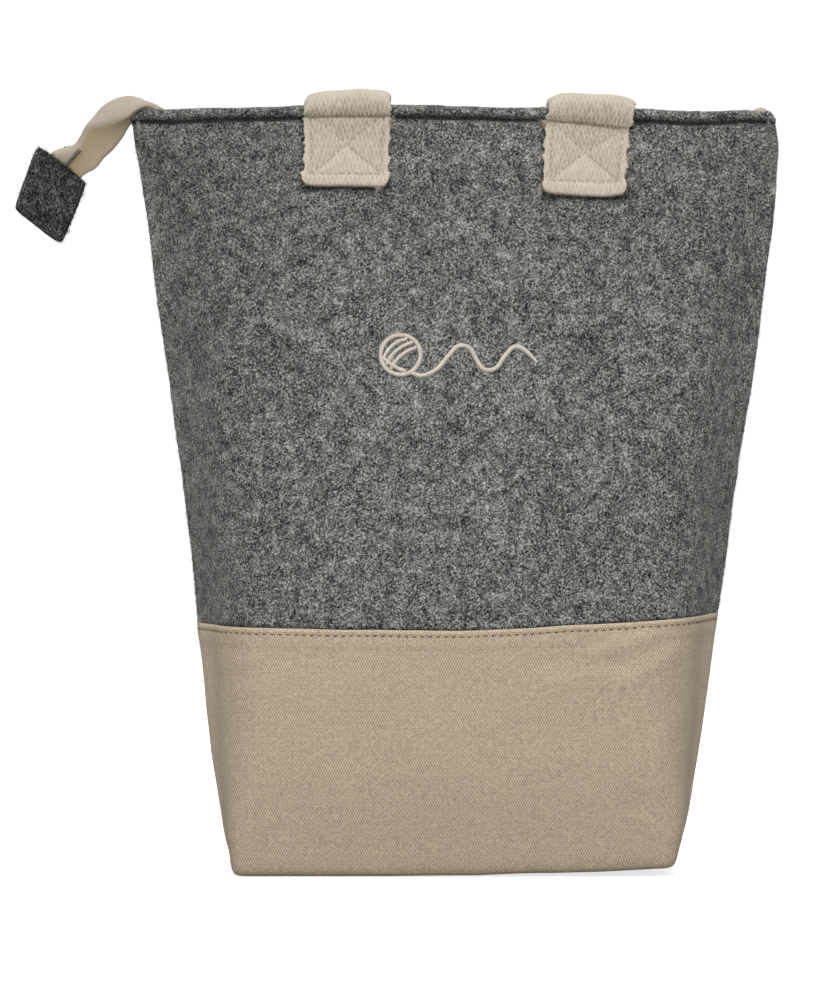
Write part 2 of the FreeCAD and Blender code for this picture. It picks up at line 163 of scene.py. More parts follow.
def relax(rows, passes):
    """Smooths each row along its length, keeping its ends."""
    for _ in range(passes):
        inner = 0.25 * rows[:, :-2] + 0.5 * rows[:, 1:-1] + 0.25 * rows[:, 2:]
        rows = np.concatenate([rows[:, :1], inner, rows[:, -1:]], 1)
    return rows


# =============================================================================
# Mesh building
# =============================================================================
class Build:
    """Collects vertices, faces and a cloth coordinate per vertex for one object.

    The cloth coordinate holds millimetres across and along the cloth, then painted shade and
    light, or a weave's relief.
    """

    def __init__(self):
        self.verts, self.faces, self.cloth = [], [], []
        self.count = 0

    def add(self, verts, faces, cloth=None):
        verts = np.asarray(verts, float).reshape(-1, 3)
        cloth = np.zeros((len(verts), 3)) if cloth is None else cloth.reshape(-1, 3)
        self.verts.append(verts)
        self.cloth.append(cloth)
        self.faces += [face + self.count for face in faces]
        self.count += len(verts)

    def grid(self, points, cloth=None, flip=False, wrap_u=False, wrap_v=False):
        """Quads over (rows, columns, 3) points; wrap_u joins columns, wrap_v joins rows."""
        rows, columns = points.shape[:2]
        idx = np.arange(rows * columns).reshape(rows, columns)
        if wrap_u:
            idx = np.concatenate([idx, idx[:, :1]], 1)
        if wrap_v:
            idx = np.concatenate([idx, idx[:1]], 0)
        quads = np.stack([idx[:-1, :-1], idx[:-1, 1:], idx[1:, 1:], idx[1:, :-1]], -1)
        quads = quads.reshape(-1, 4)
        self.add(points, [quads[:, ::-1] if flip else quads], cloth)

    def cap_ends(self, rows, half):
        """Closes the ends of the last grid, whose rows run half points out and half back."""
        first = self.count - rows * 2 * half
        for base, flip in ((first, True), (self.count - 2 * half, False)):
            there = base + np.arange(half)
            back = base + half + np.arange(half)[::-1]
            quads = np.stack([there[:-1], there[1:], back[1:], back[:-1]], -1)
            self.faces.append(quads[:, ::-1] if flip else quads)

    def join_rims(self, rows, columns):
        """Closes the rim between the last two grids, both rows by columns."""
        one = np.arange(rows * columns).reshape(rows, columns)
        one = one + self.count - 2 * rows * columns
        rim = np.concatenate([one[0, :], one[1:, -1], one[-1, -2::-1], one[-2:0:-1, 0]])
        other = rim + rows * columns
        self.faces.append(np.stack([rim, np.roll(rim, -1), np.roll(other, -1), other], -1))

    def tube(self, path, radius, sides=6, flat=1.0, up=None):
        """Thread along a path, closed at both ends; flat squeezes its section."""
        path = np.asarray(path, float)
        count = len(path)
        tangent = unit(np.gradient(path, axis=0))
        if up is None:
            up = (0.0, 0.0, 1.0) if abs(tangent[0, 2]) < 0.8 else (1.0, 0.0, 0.0)
        side = unit(np.cross(tangent, up))
        over = np.cross(side, tangent)
        radius = np.broadcast_to(np.asarray(radius, float), (count,))
        angle = (np.arange(sides) * 2 * math.pi / sides)[None, :, None]
        ring = path[:, None] + radius[:, None, None] * (
            np.cos(angle) * side[:, None] + flat * np.sin(angle) * over[:, None])
        idx = np.arange(count * sides).reshape(count, sides)
        after = np.roll(idx, -1, axis=1)
        quads = np.stack([idx[:-1], after[:-1], after[1:], idx[1:]], -1).reshape(-1, 4)
        tip = np.full(sides, count * sides)
        verts = np.concatenate([ring.reshape(-1, 3),
                                path[:1] - tangent[:1] * radius[0] * 0.5,
                                path[-1:] + tangent[-1:] * radius[-1] * 0.5])
        self.add(verts, [quads[:, ::-1], np.stack([tip, idx[0], after[0]], -1),
                         np.stack([tip + 1, after[-1], idx[-1]], -1)])

    def to_object(self, name, material):
        verts = np.concatenate(self.verts) * MM
        loops = np.concatenate([face.reshape(-1) for face in self.faces])
        sizes = np.concatenate([np.full(len(face), face.shape[1]) for face in self.faces])
        mesh = bpy.data.meshes.new(name)
        mesh.vertices.add(len(verts))
        mesh.vertices.foreach_set("co", verts.reshape(-1).astype(np.float32))
        mesh.loops.add(len(loops))
        mesh.loops.foreach_set("vertex_index", loops.astype(np.int32))
        mesh.polygons.add(len(sizes))
        starts = np.cumsum(sizes) - sizes
        mesh.polygons.foreach_set("loop_start", starts.astype(np.int32))
        mesh.polygons.foreach_set("loop_total", sizes.astype(np.int32))
        mesh.update(calc_edges=True)
        mesh.validate()
        cloth = np.concatenate(self.cloth).reshape(-1).astype(np.float32)
        attribute = mesh.attributes.new("cloth", "FLOAT_VECTOR", "POINT")
        attribute.data.foreach_set("vector", cloth)
        mesh.polygons.foreach_set("use_smooth", np.full(len(mesh.polygons), True))
        mesh.materials.append(material)
        obj = bpy.data.objects.new(name, mesh)
        bpy.context.scene.collection.objects.link(obj)
        mesh.update()
        return obj


def face_outward(obj, fill_holes=False):
    """Turns every face outward, closing open ends first if asked."""
    mesh = bmesh.new()
    mesh.from_mesh(obj.data)
    if fill_holes:
        open_edges = [edge for edge in mesh.edges if edge.is_boundary]
        bmesh.ops.holes_fill(mesh, edges=open_edges, sides=0)
        for face in mesh.faces:
            face.smooth = True
    bmesh.ops.recalc_face_normals(mesh, faces=mesh.faces)
    mesh.to_mesh(obj.data)
    mesh.free()


def add_part(build, name, material, ride="bag_body", replaces=(),
             outward=True, fill_holes=False):
    obj = build.to_object(name, material)
    if outward:
        face_outward(obj, fill_holes)
    if ride:
        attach(obj, ride)
    if replaces:
        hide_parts(*replaces)
    return obj


# =============================================================================
# Bag body: a front and a back face that meet at the side seams
# =============================================================================
# (height, distance of the left seam from x = 0)
LEFT_SEAM = table([
    (-6, 124.2), (6, 127.0), (21, 131.4), (36, 134.3), (50, 136.6), (64, 138.9), (79, 140.6),
    (93, 142.2), (107, 143.4), (121.5, 145.0), (136, 147.0), (150, 147.9), (164, 149.1),
    (179, 150.6), (193, 152.3), (207, 154.0), (222, 155.7), (236, 157.8), (250, 159.9),
    (264, 161.6), (279, 163.6), (293, 165.6), (307, 167.7), (322, 170.0), (336, 171.8),
    (350, 173.3), (364, 174.9), (379, 177.0), (393, 179.2), (403, 180.9), (412, 182.6),
    (420, 183.7), (424, 184.1), (426.2, 185.2), (428.5, 186.0), (431.4, 185.2), (434, 183.2),
    (438, 180.5)])
# (height, distance of the right seam from x = 0)
RIGHT_SEAM = table([
    (-6, 121.5), (6, 124.8), (21, 131.0), (36, 134.5), (50, 136.6), (64, 138.8), (79, 141.0),
    (93, 143.0), (107, 145.0), (121.5, 146.9), (136, 148.8), (150, 150.9), (164, 153.2),
    (179, 155.3), (193, 156.8), (207, 158.5), (222, 161.0), (236, 162.8), (250, 165.2),
    (264, 167.7), (279, 170.2), (293, 172.1), (307, 173.9), (322, 175.6), (336, 177.3),
    (350, 179.1), (364, 181.2), (379, 182.6), (393, 183.6), (404, 184.2), (411, 184.7),
    (416, 184.7), (422, 183.9), (427, 183.4), (429.5, 183.3), (431, 182.6), (434, 180.4),
    (438, 176.5)])
# (height, half the bag's depth at its face)
HALF_DEPTH = table([
    (0, 55.0), (60, 57.0), (100, 55.5), (150, 52.0), (200, 47.5), (250, 42.0), (300, 35.5),
    (350, 28.0), (380, 22.5), (400, 18.0), (415, 14.2), (426, 11.6), (434, 11.0)])
# (height, how far inside the seam the face's corner lies)
CORNER_INSET = table([(0, 1.0), (60, 13.0), (150, 23.0), (250, 30.0), (350, 36.0),
                      (400, 36.0), (434, 35.0)])
# (height, how far the corner's rounding reaches)
CORNER_ROUND = table([(0, 7.0), (30, 14.0), (70, 24.0), (140, 36.0), (250, 44.0),
                      (350, 46.0), (434, 26.0)])
# (x, rise of the rim)
RIM_RISE = table([
    (-190, -0.8), (-150, -0.9), (-134, -0.9), (-112, -0.6), (-92, 0.3), (-60, 1.1),
    (-15, 0.6), (2, 0.1), (16, -0.5), (28, -0.9), (40, -0.9), (52, -0.6), (110, -1.6),
    (134, -2.9), (150, -2.5), (167, -1.3), (176, -1.6), (190, -3.2)])
# folds in each face: x and z of one end, x and z of the other, width, depth
CREASES = {
    -1: ((66, 122, 122, 136, 4.5, 1.3), (84, 104, 136, 131, 5.5, 1.1),
         (40, 108, 104, 112, 6.0, 0.7), (-138, 110, -104, 127, 5.0, 0.9),
         (-122, 96, -84, 118, 6.0, 0.5), (92, 34, 124, 14, 5.0, 0.7),
         (-118, 12, -96, 40, 5.0, 0.6), (108, 70, 138, 104, 6.0, 0.6),
         (-150, 380, -126, 352, 6.0, 0.6), (140, 372, 158, 330, 6.0, 0.6)),
    1: ((-120, 118, -70, 132, 5.0, 1.2), (60, 100, 128, 124, 6.0, 1.0),
        (-126, 20, -96, 44, 5.0, 0.8)),
}
SLACK_SEED = {-1: 3, 1: 8}
SEAM_Y = 1.9            # where the seam's rounded lip ends
SECTION_POINTS = 721
Z_LOW, Z_HIGH, Z_STEP = -6.0, 438.0, 2.0
Z_ROWS = np.arange(Z_LOW, Z_HIGH + 0.1, Z_STEP)


def half_section(z):
    """Half the bag's outline at height z, left seam to right seam, as (x, outward y)."""
    depth, inset, rounding = (float(curve(max(z, 0.0)))
                              for curve in (HALF_DEPTH, CORNER_INSET, CORNER_ROUND))
    halves = []
    for sign, seam_curve in ((-1, LEFT_SEAM), (1, RIGHT_SEAM)):
        width = float(seam_curve(z))
        seam = np.array([width, SEAM_Y])
        corner = np.array([width - inset, depth])
        span = np.linalg.norm(corner - seam)
        slope = (corner - seam) / span
        reach = min(rounding, 0.46 * span)
        line_start, line_end = seam + slope * 3.0, corner - slope * reach
        half = np.concatenate([
            quad_bezier((width - 1.7, 0.06), (width - 0.1, 0.25), seam, 7),
            quad_bezier(seam, seam + (slope[0] * 0.2, 1.2), line_start, 6)[1:],
            np.linspace(line_start, line_end, 24)[1:],
            quad_bezier(line_end, corner, (corner[0] - reach, depth), 30)[1:]])
        half[:, 0] *= sign
        halves.append(half)
    left, right = halves[0], halves[1][::-1]
    middle = np.linspace(left[-1], right[0], 60)[1:-1]
    return np.concatenate([left, middle, right])


def crease(x, z, x0, z0, x1, z1, width, depth):
    """A soft ridge with a valley beside it, along a segment."""
    dx, dz = x1 - x0, z1 - z0
    length = math.hypot(dx, dz)
    along = ((x - x0) * dx + (z - z0) * dz) / length
    across = (-(x - x0) * dz + (z - z0) * dx) / length
    fade = ease(along / (0.25 * length)) * ease((length - along) / (0.35 * length))
    valley = np.exp(-((across - 1.7 * width) / (1.2 * width)) ** 2)
    return depth * fade * (np.exp(-(across / width) ** 2) - 0.7 * valley)


def face_grid(side):
    """Outer face of the felt as (height, girth) points, and the girth at each height."""
    grid = np.zeros((len(Z_ROWS), SECTION_POINTS, 3))
    girths = np.zeros(len(Z_ROWS))
    for i, z in enumerate(Z_ROWS):
        section = half_section(z)
        lengths = lengths_along(section)
        girths[i] = lengths[-1]
        even = np.linspace(0, lengths[-1], SECTION_POINTS)
        grid[i, :, :2] = at_lengths(even, lengths, section)
        grid[i, :, 2] = z
    grid[:, 20:-20] = relax(grid, 10)[:, 20:-20]
    x, y, z = (grid[..., k].copy() for k in range(3))
    width = 0.5 * (LEFT_SEAM(z) + RIGHT_SEAM(z))
    margin = width - np.abs(x)
    inside = ease(margin / 30.0)
    # the face is crowned, and slack cloth wanders a little
    seed = SLACK_SEED[side]
    crown = 3.0 * (1 - (x / np.maximum(width, 1)) ** 2) * ease(z / 60) * ease((425 - z) / 120)
    slack = 1.5 * fbm(x / 85, z / 120, seed=seed) * ease((z - 20) / 90) * ease((428 - z) / 60)
    slack += (0.45 * fbm(x / 26, z / 34, seed=seed + 5)
              * ease((z - 8) / 30) * ease((426 - z) / 20))
    slack += (0.9 * fbm(x / 40, z / 300, seed=seed + 9, octaves=1)
              * ease((z - 330) / 60) * ease((430 - z) / 15))
    folds = sum(crease(x, z, *fold) for fold in CREASES[side])
    grid[..., 1] = y + crown * inside + slack * (0.3 + 0.7 * inside) + inside * folds
    # the cloth tucks in a little beside the seams
    tuck = ease(margin / 6.0) * (1 - ease((margin - 10) / 26.0))
    grid[..., 1] -= 1.4 * tuck * ease((z - 60) / 120) * ease((410 - z) / 120)
    grid[..., 2] += RIM_RISE(x) * ease((z - 300) / 134)
    # the right end of the bottom stands slightly off the floor
    if side < 0:
        raised = 5.4 * ease((x + 60) / 180)
    else:
        raised = 1.6 * ease((x + 20) / 140) + 3.8 * ease((x - 60) / 50) * (1 - ease(y / 38))
    grid[..., 2] += raised * (1 - ease(z / 90))
    grid[..., 1] *= side
    return grid, girths


FACES = {side: face_grid(side) for side, _ in SIDES}


def on_face(side, frac, z, lift=0.0):
    """Point at a fraction of the girth and a height, lifted outward off the felt's face."""
    grid = FACES[side][0]
    frac, z, lift = np.broadcast_arrays(*(np.asarray(v, float) for v in (frac, z, lift)))

    def sample(at_frac, at_z):
        row = np.clip((at_z - Z_LOW) / Z_STEP, 0, len(Z_ROWS) - 1.001)
        column = np.clip(at_frac * (SECTION_POINTS - 1), 0, SECTION_POINTS - 1.001)
        i, j = row.astype(int), column.astype(int)
        up, right = (row - i)[..., None], (column - j)[..., None]
        return ((1 - up) * ((1 - right) * grid[i, j] + right * grid[i, j + 1])
                + up * ((1 - right) * grid[i + 1, j] + right * grid[i + 1, j + 1]))

    dfrac, dz = 0.0025, 1.5
    around = sample(np.minimum(frac + dfrac, 1), z) - sample(np.maximum(frac - dfrac, 0), z)
    upward = sample(frac, np.minimum(z + dz, Z_HIGH)) - sample(frac, np.maximum(z - dz, Z_LOW))
    normal = unit(np.cross(around, upward)) * -side
    point = sample(frac, z) + normal * lift[..., None]
    # neither face may cross the plane between them
    point[..., 1] = side * np.maximum(side * point[..., 1], 0.06)
    return point


def face_line(side, frac, z, lift):
    """Points on the face and the outward direction at each."""
    points = on_face(side, frac, z, lift)
    return points, unit(on_face(side, frac, z, lift + 1.0) - points)


def frac_at_x(side, x, z):
    """Fraction of the girth where the face has this x at this height."""
    x, z = np.broadcast_arrays(np.asarray(x, float), np.asarray(z, float))
    grid = FACES[side][0]
    fracs = np.zeros(x.shape)
    row = np.clip(np.round((z - Z_LOW) / Z_STEP).astype(int), 0, len(Z_ROWS) - 1)
    for i in np.unique(row):
        here = row == i
        fracs[here] = np.interp(x[here], grid[i, :, 0], np.linspace(0, 1, SECTION_POINTS))
    return fracs


def run_at(side, frac, z):
    """Millimetres around the face from its middle."""
    return (frac - 0.5) * np.interp(z, Z_ROWS, FACES[side][1])


# =============================================================================
# Materials
# =============================================================================
class Shader:
    """Node tree around one Principled shader; the methods return sockets."""

    def __init__(self, name):
        self.material = bpy.data.materials.new(name)
        self.material.use_nodes = True
        self.tree = self.material.node_tree
        self.tree.nodes.clear()
        self.output = self.node("ShaderNodeOutputMaterial")
        self.principled = self.node("ShaderNodeBsdfPrincipled")
        self.tree.links.new(self.principled.outputs[0], self.output.inputs[0])
        self.position = self.node("ShaderNodeTexCoord").outputs["Object"]

    def node(self, kind, **settings):
        node = self.tree.nodes.new(kind)
        for key, value in settings.items():
            setattr(node, key, value)
        return node

    def put(self, socket, value):
        """Links a socket, or stores a plain value."""
        if isinstance(value, bpy.types.NodeSocket):
            self.tree.links.new(value, socket)
        else:
            socket.default_value = value

    def filled(self, node, *values):
        """Fills a node's first inputs and returns its first output."""
        for socket, value in zip(node.inputs, values):
            self.put(socket, value)
        return node.outputs[0]

    def math(self, operation, a, b=0.0):
        return self.filled(self.node("ShaderNodeMath", operation=operation), a, b)

    def add(self, a, b):
        return self.math("ADD", a, b)

    def times(self, a, b):
        return self.math("MULTIPLY", a, b)

    def centred(self, value, amount):
        """(value - 0.5) * amount"""
        return self.times(self.math("SUBTRACT", value, 0.5), amount)

    def vary(self, total, value, amount):
        """total + (value - 0.5) * amount"""
        return self.add(total, self.centred(value, amount))

    def vector_math(self, operation, a, b=(0, 0, 0)):
        return self.filled(self.node("ShaderNodeVectorMath", operation=operation), a, b)

    def noise(self, vector, scale, detail=2.0, rough=0.5, output="Fac"):
        node = self.node("ShaderNodeTexNoise")
        self.put(node.inputs["Vector"], vector)
        node.inputs["Scale"].default_value = scale
        node.inputs["Detail"].default_value = detail
        node.inputs["Roughness"].default_value = rough
        return node.outputs[output]

    def stretched(self, vector, turn, scale, detail=1.0, rough=0.5):
        """Noise drawn out into streaks: the pattern is turned first, then scaled."""
        node = self.node("ShaderNodeMapping", vector_type="TEXTURE")
        self.put(node.inputs["Vector"], vector)
        node.inputs["Rotation"].default_value = turn
        node.inputs["Scale"].default_value = tuple(1.0 / k for k in scale)
        return self.noise(node.outputs[0], scale=1.0, detail=detail, rough=rough)

    def ramp(self, value, stops):
        """Colour ramp through (position, colour) stops."""
        node = self.node("ShaderNodeValToRGB")
        elements = node.color_ramp.elements
        while len(elements) < len(stops):
            elements.new(0.5)
        for element, (position, color) in zip(elements, stops):
            element.position = position
            element.color = (*color, 1.0)
        return self.filled(node, value)

    def mix(self, amount, first, second, mode="MIX"):
        node = self.node("ShaderNodeMix", data_type="RGBA", blend_type=mode)
        self.put(node.inputs[0], amount)
        self.put(node.inputs[6], first)
        self.put(node.inputs[7], (*second, 1.0) if isinstance(second, tuple) else second)
        return node.outputs[2]

    def remap(self, value, source, to):
        """Maps the source range onto the other, clamped."""
        return self.filled(self.node("ShaderNodeMapRange"), value, *source, *to)

    def cloth(self):
        """The three parts of the cloth coordinate."""
        return self.split(self.node("ShaderNodeAttribute", attribute_name="cloth")
                          .outputs["Vector"])

    def split(self, vector):
        node = self.node("ShaderNodeSeparateXYZ")
        self.put(node.inputs[0], vector)
        return node.outputs

    def join(self, x, y, z=0.0):
        return self.filled(self.node("ShaderNodeCombineXYZ"), x, y, z)

    def surface(self, color, roughness, height, strength, distance, specular=0.5, sheen=0.0):
        """Sets the Principled inputs, with a bump of the given strength and distance."""
        bump = self.node("ShaderNodeBump")
        bump.inputs["Strength"].default_value = strength
        bump.inputs["Distance"].default_value = distance
        self.put(bump.inputs["Height"], height)
        inputs = self.principled.inputs
        self.put(inputs["Base Color"], color)
        self.put(inputs["Roughness"], roughness)
        self.put(inputs["Normal"], bump.outputs[0])
        inputs["Specular IOR Level"].default_value = specular
        inputs["Sheen Weight"].default_value = sheen
        return self.material


MIDDLE = (0.2, 0.8)  # the part of a noise's range that roughness follows


def tint(color, factor):
    return tuple(min(1.0, c * factor) for c in color)


def blend_colors(first, second, t):
    return tuple(lerp(a, b, t) for a, b in zip(first, second))


def felt_material(name, dark, mid, light, gain, turns):
    """Wool felt: fibres matted in three directions, loose pale hairs, specks and blotches.

    gain sets the contrast; the third cloth coordinate darkens it with painted shade, and
    lightens it with painted light where negative.
    """
    nodes = Shader(name)
    warp = nodes.noise(nodes.position, scale=230.0, output="Color")
    curl = nodes.vector_math("SCALE", nodes.vector_math("SUBTRACT", warp, (0.5, 0.5, 0.5)))
    curl.node.inputs["Scale"].default_value = 0.0032
    curled = nodes.vector_math("ADD", nodes.position, curl)
    fine = nodes.noise(nodes.position, scale=820.0, detail=3.0, rough=0.68)
    scales = ((2100, 2100, 430), (2000, 2000, 420), (1900, 1900, 460))
    fibres = [nodes.stretched(curled, turn, scale) for turn, scale in zip(turns, scales)]
    blotches = nodes.noise(nodes.position, scale=150.0, detail=2.5, rough=0.55)
    slow = nodes.noise(nodes.position, scale=34.0)
    tone = nodes.centred(fine, 1.25 * gain)
    for source, weight in zip((*fibres, blotches, slow), (0.62, 0.58, 0.55, 0.50, 0.10)):
        tone = nodes.vary(tone, source, weight * gain)
    tone = nodes.add(tone, 0.5)
    soft = nodes.add(nodes.centred(tone, 0.6), 0.5)
    color = nodes.ramp(soft, [(0.0, tint(dark, 0.5)), (0.2, dark), (0.5, mid), (0.8, light),
                              (1.0, tint(light, 1.5))])
    hairs = nodes.remap(fibres[0], (0.69, 0.78), to=(0.0, 0.55))
    color = nodes.mix(hairs, color, tint(light, 1.35))
    specks = nodes.noise(nodes.position, scale=520.0, detail=1.0)
    specks = nodes.remap(specks, (0.68, 0.80), to=(0.0, 0.6))
    color = nodes.mix(specks, color, tint(dark, 0.8))
    # painted shade and painted light from the third cloth coordinate
    shade = nodes.remap(nodes.cloth()[2], (-0.5, 1.0), to=(1.45, 0.10))
    color = nodes.mix(1.0, color, nodes.join(shade, shade, shade), "MULTIPLY")
    height = nodes.add(
        nodes.add(nodes.times(fine, 0.9), nodes.times(fibres[0], 0.5)),
        nodes.add(nodes.times(fibres[1], 0.5), nodes.times(fibres[2], 0.5)))
    nodes.principled.inputs["Sheen Roughness"].default_value = 0.55
    nodes.principled.inputs["Sheen Tint"].default_value = (0.75, 0.75, 0.72, 1)
    return nodes.surface(color, nodes.remap(fine, MIDDLE, to=(0.86, 1.0)), height,
                         strength=0.42, distance=0.0009, specular=0.12, sheen=0.22)


def canvas_material(name, light, dark):
    """Plain-weave cotton canvas; the third cloth coordinate darkens it with painted shade and a
    little random tone, and lightens it with painted light where negative.
    """
    warp_period, weft_period = 1.46, 2.81  # mm; two rows of weft to a period
    nodes = Shader(name)
    across, along, painted_shade_and_tone = nodes.cloth()
    jitter = nodes.noise(nodes.position, scale=260.0, output="Color")
    jitter_across, jitter_along, _ = nodes.split(jitter)
    warp_angle = nodes.times(nodes.vary(across, jitter_across, 0.42),
                             2 * math.pi / warp_period)
    weft_angle = nodes.times(nodes.vary(along, jitter_along, 0.42), 2 * math.pi / weft_period)
    # +1 where the warp lies on top, -1 where the weft does
    over = nodes.times(nodes.math("SINE", warp_angle), nodes.math("SINE", weft_angle))
    # thread-to-thread variation
    warp = nodes.noise(nodes.join(nodes.times(across, 0.75), nodes.times(along, 0.035)),
                       scale=1.0, detail=1.0)
    weft = nodes.noise(nodes.join(nodes.times(across, 0.035), nodes.times(along, 0.75), 5.0),
                       scale=1.0, detail=1.0)
    slubs = nodes.noise(nodes.position, scale=620.0, detail=3.0, rough=0.72)
    slow = nodes.noise(nodes.position, scale=22.0)
    rows = nodes.math("COSINE", nodes.times(weft_angle, 2.0))
    tone = nodes.add(0.5, nodes.times(over, 0.50))
    tone = nodes.add(tone, nodes.times(rows, -0.12))
    for source, amount in ((warp, 0.20), (weft, 0.22), (slubs, 1.75), (slow, 0.08)):
        tone = nodes.vary(tone, source, amount)
    color = nodes.ramp(tone, [(0.0, dark), (0.5, blend_colors(dark, light, 0.5)),
                              (1.0, light)])
    # tiny pale flecks
    flecks = nodes.noise(nodes.position, scale=330.0, detail=0.0)
    flecks = nodes.remap(flecks, (0.84, 0.88), to=(0.0, 0.4))
    color = nodes.mix(flecks, color, tint(light, 1.25))
    # painted shade and painted light, with a little random tone, from the third cloth
    # coordinate
    shade = nodes.remap(painted_shade_and_tone, (-0.3, 1.0), to=(1.26, 0.25))
    color = nodes.mix(1.0, color, nodes.join(shade, shade, shade), "MULTIPLY")
    threads = nodes.times(nodes.add(warp, weft), 0.35)
    height = nodes.add(nodes.times(over, 0.35), nodes.add(nodes.times(slubs, 0.6), threads))
    return nodes.surface(color, nodes.remap(slubs, MIDDLE, to=(0.84, 0.97)), height,
                         strength=0.55, distance=0.00035, specular=0.16, sheen=0.08)


def webbing_material(name, light, dark):
    """Cotton webbing; the third cloth coordinate is the relief of the modelled weave, less
    painted shade on the sewn ends and the folds.
    """
    nodes = Shader(name)
    across, along, relief = nodes.cloth()
    ply = nodes.stretched(nodes.join(across, along), turn=(0, 0, 0.32), scale=(3.6, 0.9, 1),
                          detail=2.0, rough=0.6)
    fuzz = nodes.noise(nodes.position, scale=900.0, detail=3.0, rough=0.65)
    slow = nodes.noise(nodes.position, scale=60.0)
    tone = nodes.vary(nodes.times(relief, 0.82), ply, 0.60)
    tone = nodes.vary(tone, fuzz, 0.85)
    tone = nodes.vary(tone, slow, 0.30)
    color = nodes.ramp(tone, [(0.0, dark), (0.35, blend_colors(dark, light, 0.62)),
                              (0.85, light)])
    height = nodes.add(nodes.times(ply, 0.8), nodes.times(fuzz, 0.6))
    return nodes.surface(color, nodes.remap(fuzz, MIDDLE, to=(0.86, 0.98)), height,
                         strength=0.5, distance=0.0004, specular=0.14, sheen=0.12)


def thread_material(name, light, dark, shine=0.3):
    """Thread or hair: twist marks and a soft shine."""
    nodes = Shader(name)
    twist = nodes.stretched(nodes.position, turn=(0.3, 0.75, 0.2), scale=(810, 2340, 810))
    slow = nodes.noise(nodes.position, scale=160.0, detail=1.0)
    tone = nodes.add(nodes.times(twist, 0.7), nodes.times(slow, 0.5))
    color = nodes.ramp(tone, [(0.25, dark), (0.85, light)])
    roughness = nodes.remap(twist, MIDDLE, to=(0.45 + 0.3 * (1 - shine), 0.8))
    return nodes.surface(color, roughness, twist, strength=0.5, distance=0.00025,
                         specular=0.2 + 0.3 * shine, sheen=0.15)


def tape_material(name, light, dark):
    """Herringbone zip tape; the third cloth coordinate darkens and yellows it as painted shade.
    """
    column, rib_pitch = 1.1, 0.62  # mm
    nodes = Shader(name)
    across, along, shade = nodes.cloth()
    zigzag = nodes.math("PINGPONG", across, column)
    ribs = nodes.math("SINE", nodes.times(nodes.add(along, nodes.times(zigzag, 1.0)),
                                          2 * math.pi / rib_pitch))
    columns_wave = nodes.math("SINE", nodes.times(across, 2 * math.pi / column))
    fine = nodes.noise(nodes.position, scale=1200.0, rough=0.6)
    slow = nodes.noise(nodes.position, scale=70.0)
    tone = nodes.add(0.5, nodes.add(nodes.times(ribs, 0.13), nodes.times(columns_wave, 0.06)))
    tone = nodes.vary(tone, fine, 0.4)
    tone = nodes.vary(tone, slow, 0.5)
    color = nodes.ramp(tone, [(0.0, dark), (1.0, light)])
    # painted shade: darker and warmer where the third cloth coordinate is high
    red = nodes.remap(shade, (0.0, 1.0), to=(0.86, 0.92))
    green = nodes.times(red, nodes.remap(shade, (0.0, 1.0), to=(1.0, 0.83)))
    blue = nodes.times(red, nodes.remap(shade, (0.0, 1.0), to=(1.0, 0.49)))
    color = nodes.mix(1.0, color, nodes.join(red, green, blue), "MULTIPLY")
    height = nodes.add(ribs, nodes.times(columns_wave, 0.6))
    return nodes.surface(color, nodes.remap(fine, MIDDLE, to=(0.6, 0.8)), height,
                         strength=0.35, distance=0.00012, specular=0.3, sheen=0.2)


def plastic_material(name, color, rough):
    nodes = Shader(name)
    fine = nodes.noise(nodes.position, scale=700.0, rough=0.6)
    slow = nodes.noise(nodes.position, scale=90.0)
    tone = nodes.add(nodes.times(fine, 0.5), nodes.times(slow, 0.5))
    return nodes.surface(nodes.ramp(tone, [(0.3, tint(color, 0.8)), (0.7, color)]),
                         nodes.remap(fine, MIDDLE, to=(rough - 0.08, rough + 0.1)), fine,
                         strength=0.15, distance=0.0001)


def metal_material(name, color, rough):
    """Plated metal with fine scratches and pits."""
    nodes = Shader(name)
    scratches = nodes.stretched(nodes.position, turn=(0.2, 0.3, 0.4),
                                scale=(300, 5200, 5200), detail=2.0, rough=0.6)
    pits = nodes.noise(nodes.position, scale=1500.0)
    slow = nodes.noise(nodes.position, scale=120.0)
    wear = nodes.add(nodes.times(scratches, 0.6), nodes.times(pits, 0.4))
    nodes.principled.inputs["Metallic"].default_value = 1.0
    return nodes.surface(nodes.ramp(slow, [(0.3, tint(color, 0.78)), (0.7, color)]),
                         nodes.remap(wear, (0.3, 0.7), to=(rough, rough + 0.22)), scratches,
                         strength=0.12, distance=0.00008)


FELT = felt_material(
    "grey_felt", dark=(0.016, 0.016, 0.0155), mid=(0.138, 0.138, 0.131),
    light=(0.430, 0.430, 0.408), gain=2.3,
    turns=((0, 0.5, 0.3), (0.2, -1.0, 0), (0, 1.55, 0.6)))
DARK_FELT = felt_material(
    "dark_felt", dark=(0.003, 0.003, 0.003), mid=(0.024, 0.024, 0.0235),
    light=(0.138, 0.138, 0.134), gain=2.8,
    turns=((0, 0.30, 0), (0, 0.55, 0.2), (0.2, 0.05, 0)))
CANVAS = canvas_material("beige_canvas", light=(0.712, 0.585, 0.438),
                         dark=(0.352, 0.278, 0.199))
WEBBING = webbing_material("cream_webbing", light=(0.715, 0.640, 0.532),
                           dark=(0.390, 0.330, 0.257))
TAPE = tape_material("zip_tape", light=(0.640, 0.560, 0.460), dark=(0.460, 0.390, 0.300))
COIL = plastic_material("zip_coil", color=(0.42, 0.36, 0.28), rough=0.42)
METAL = metal_material("zip_metal", color=(0.62, 0.60, 0.56), rough=0.26)
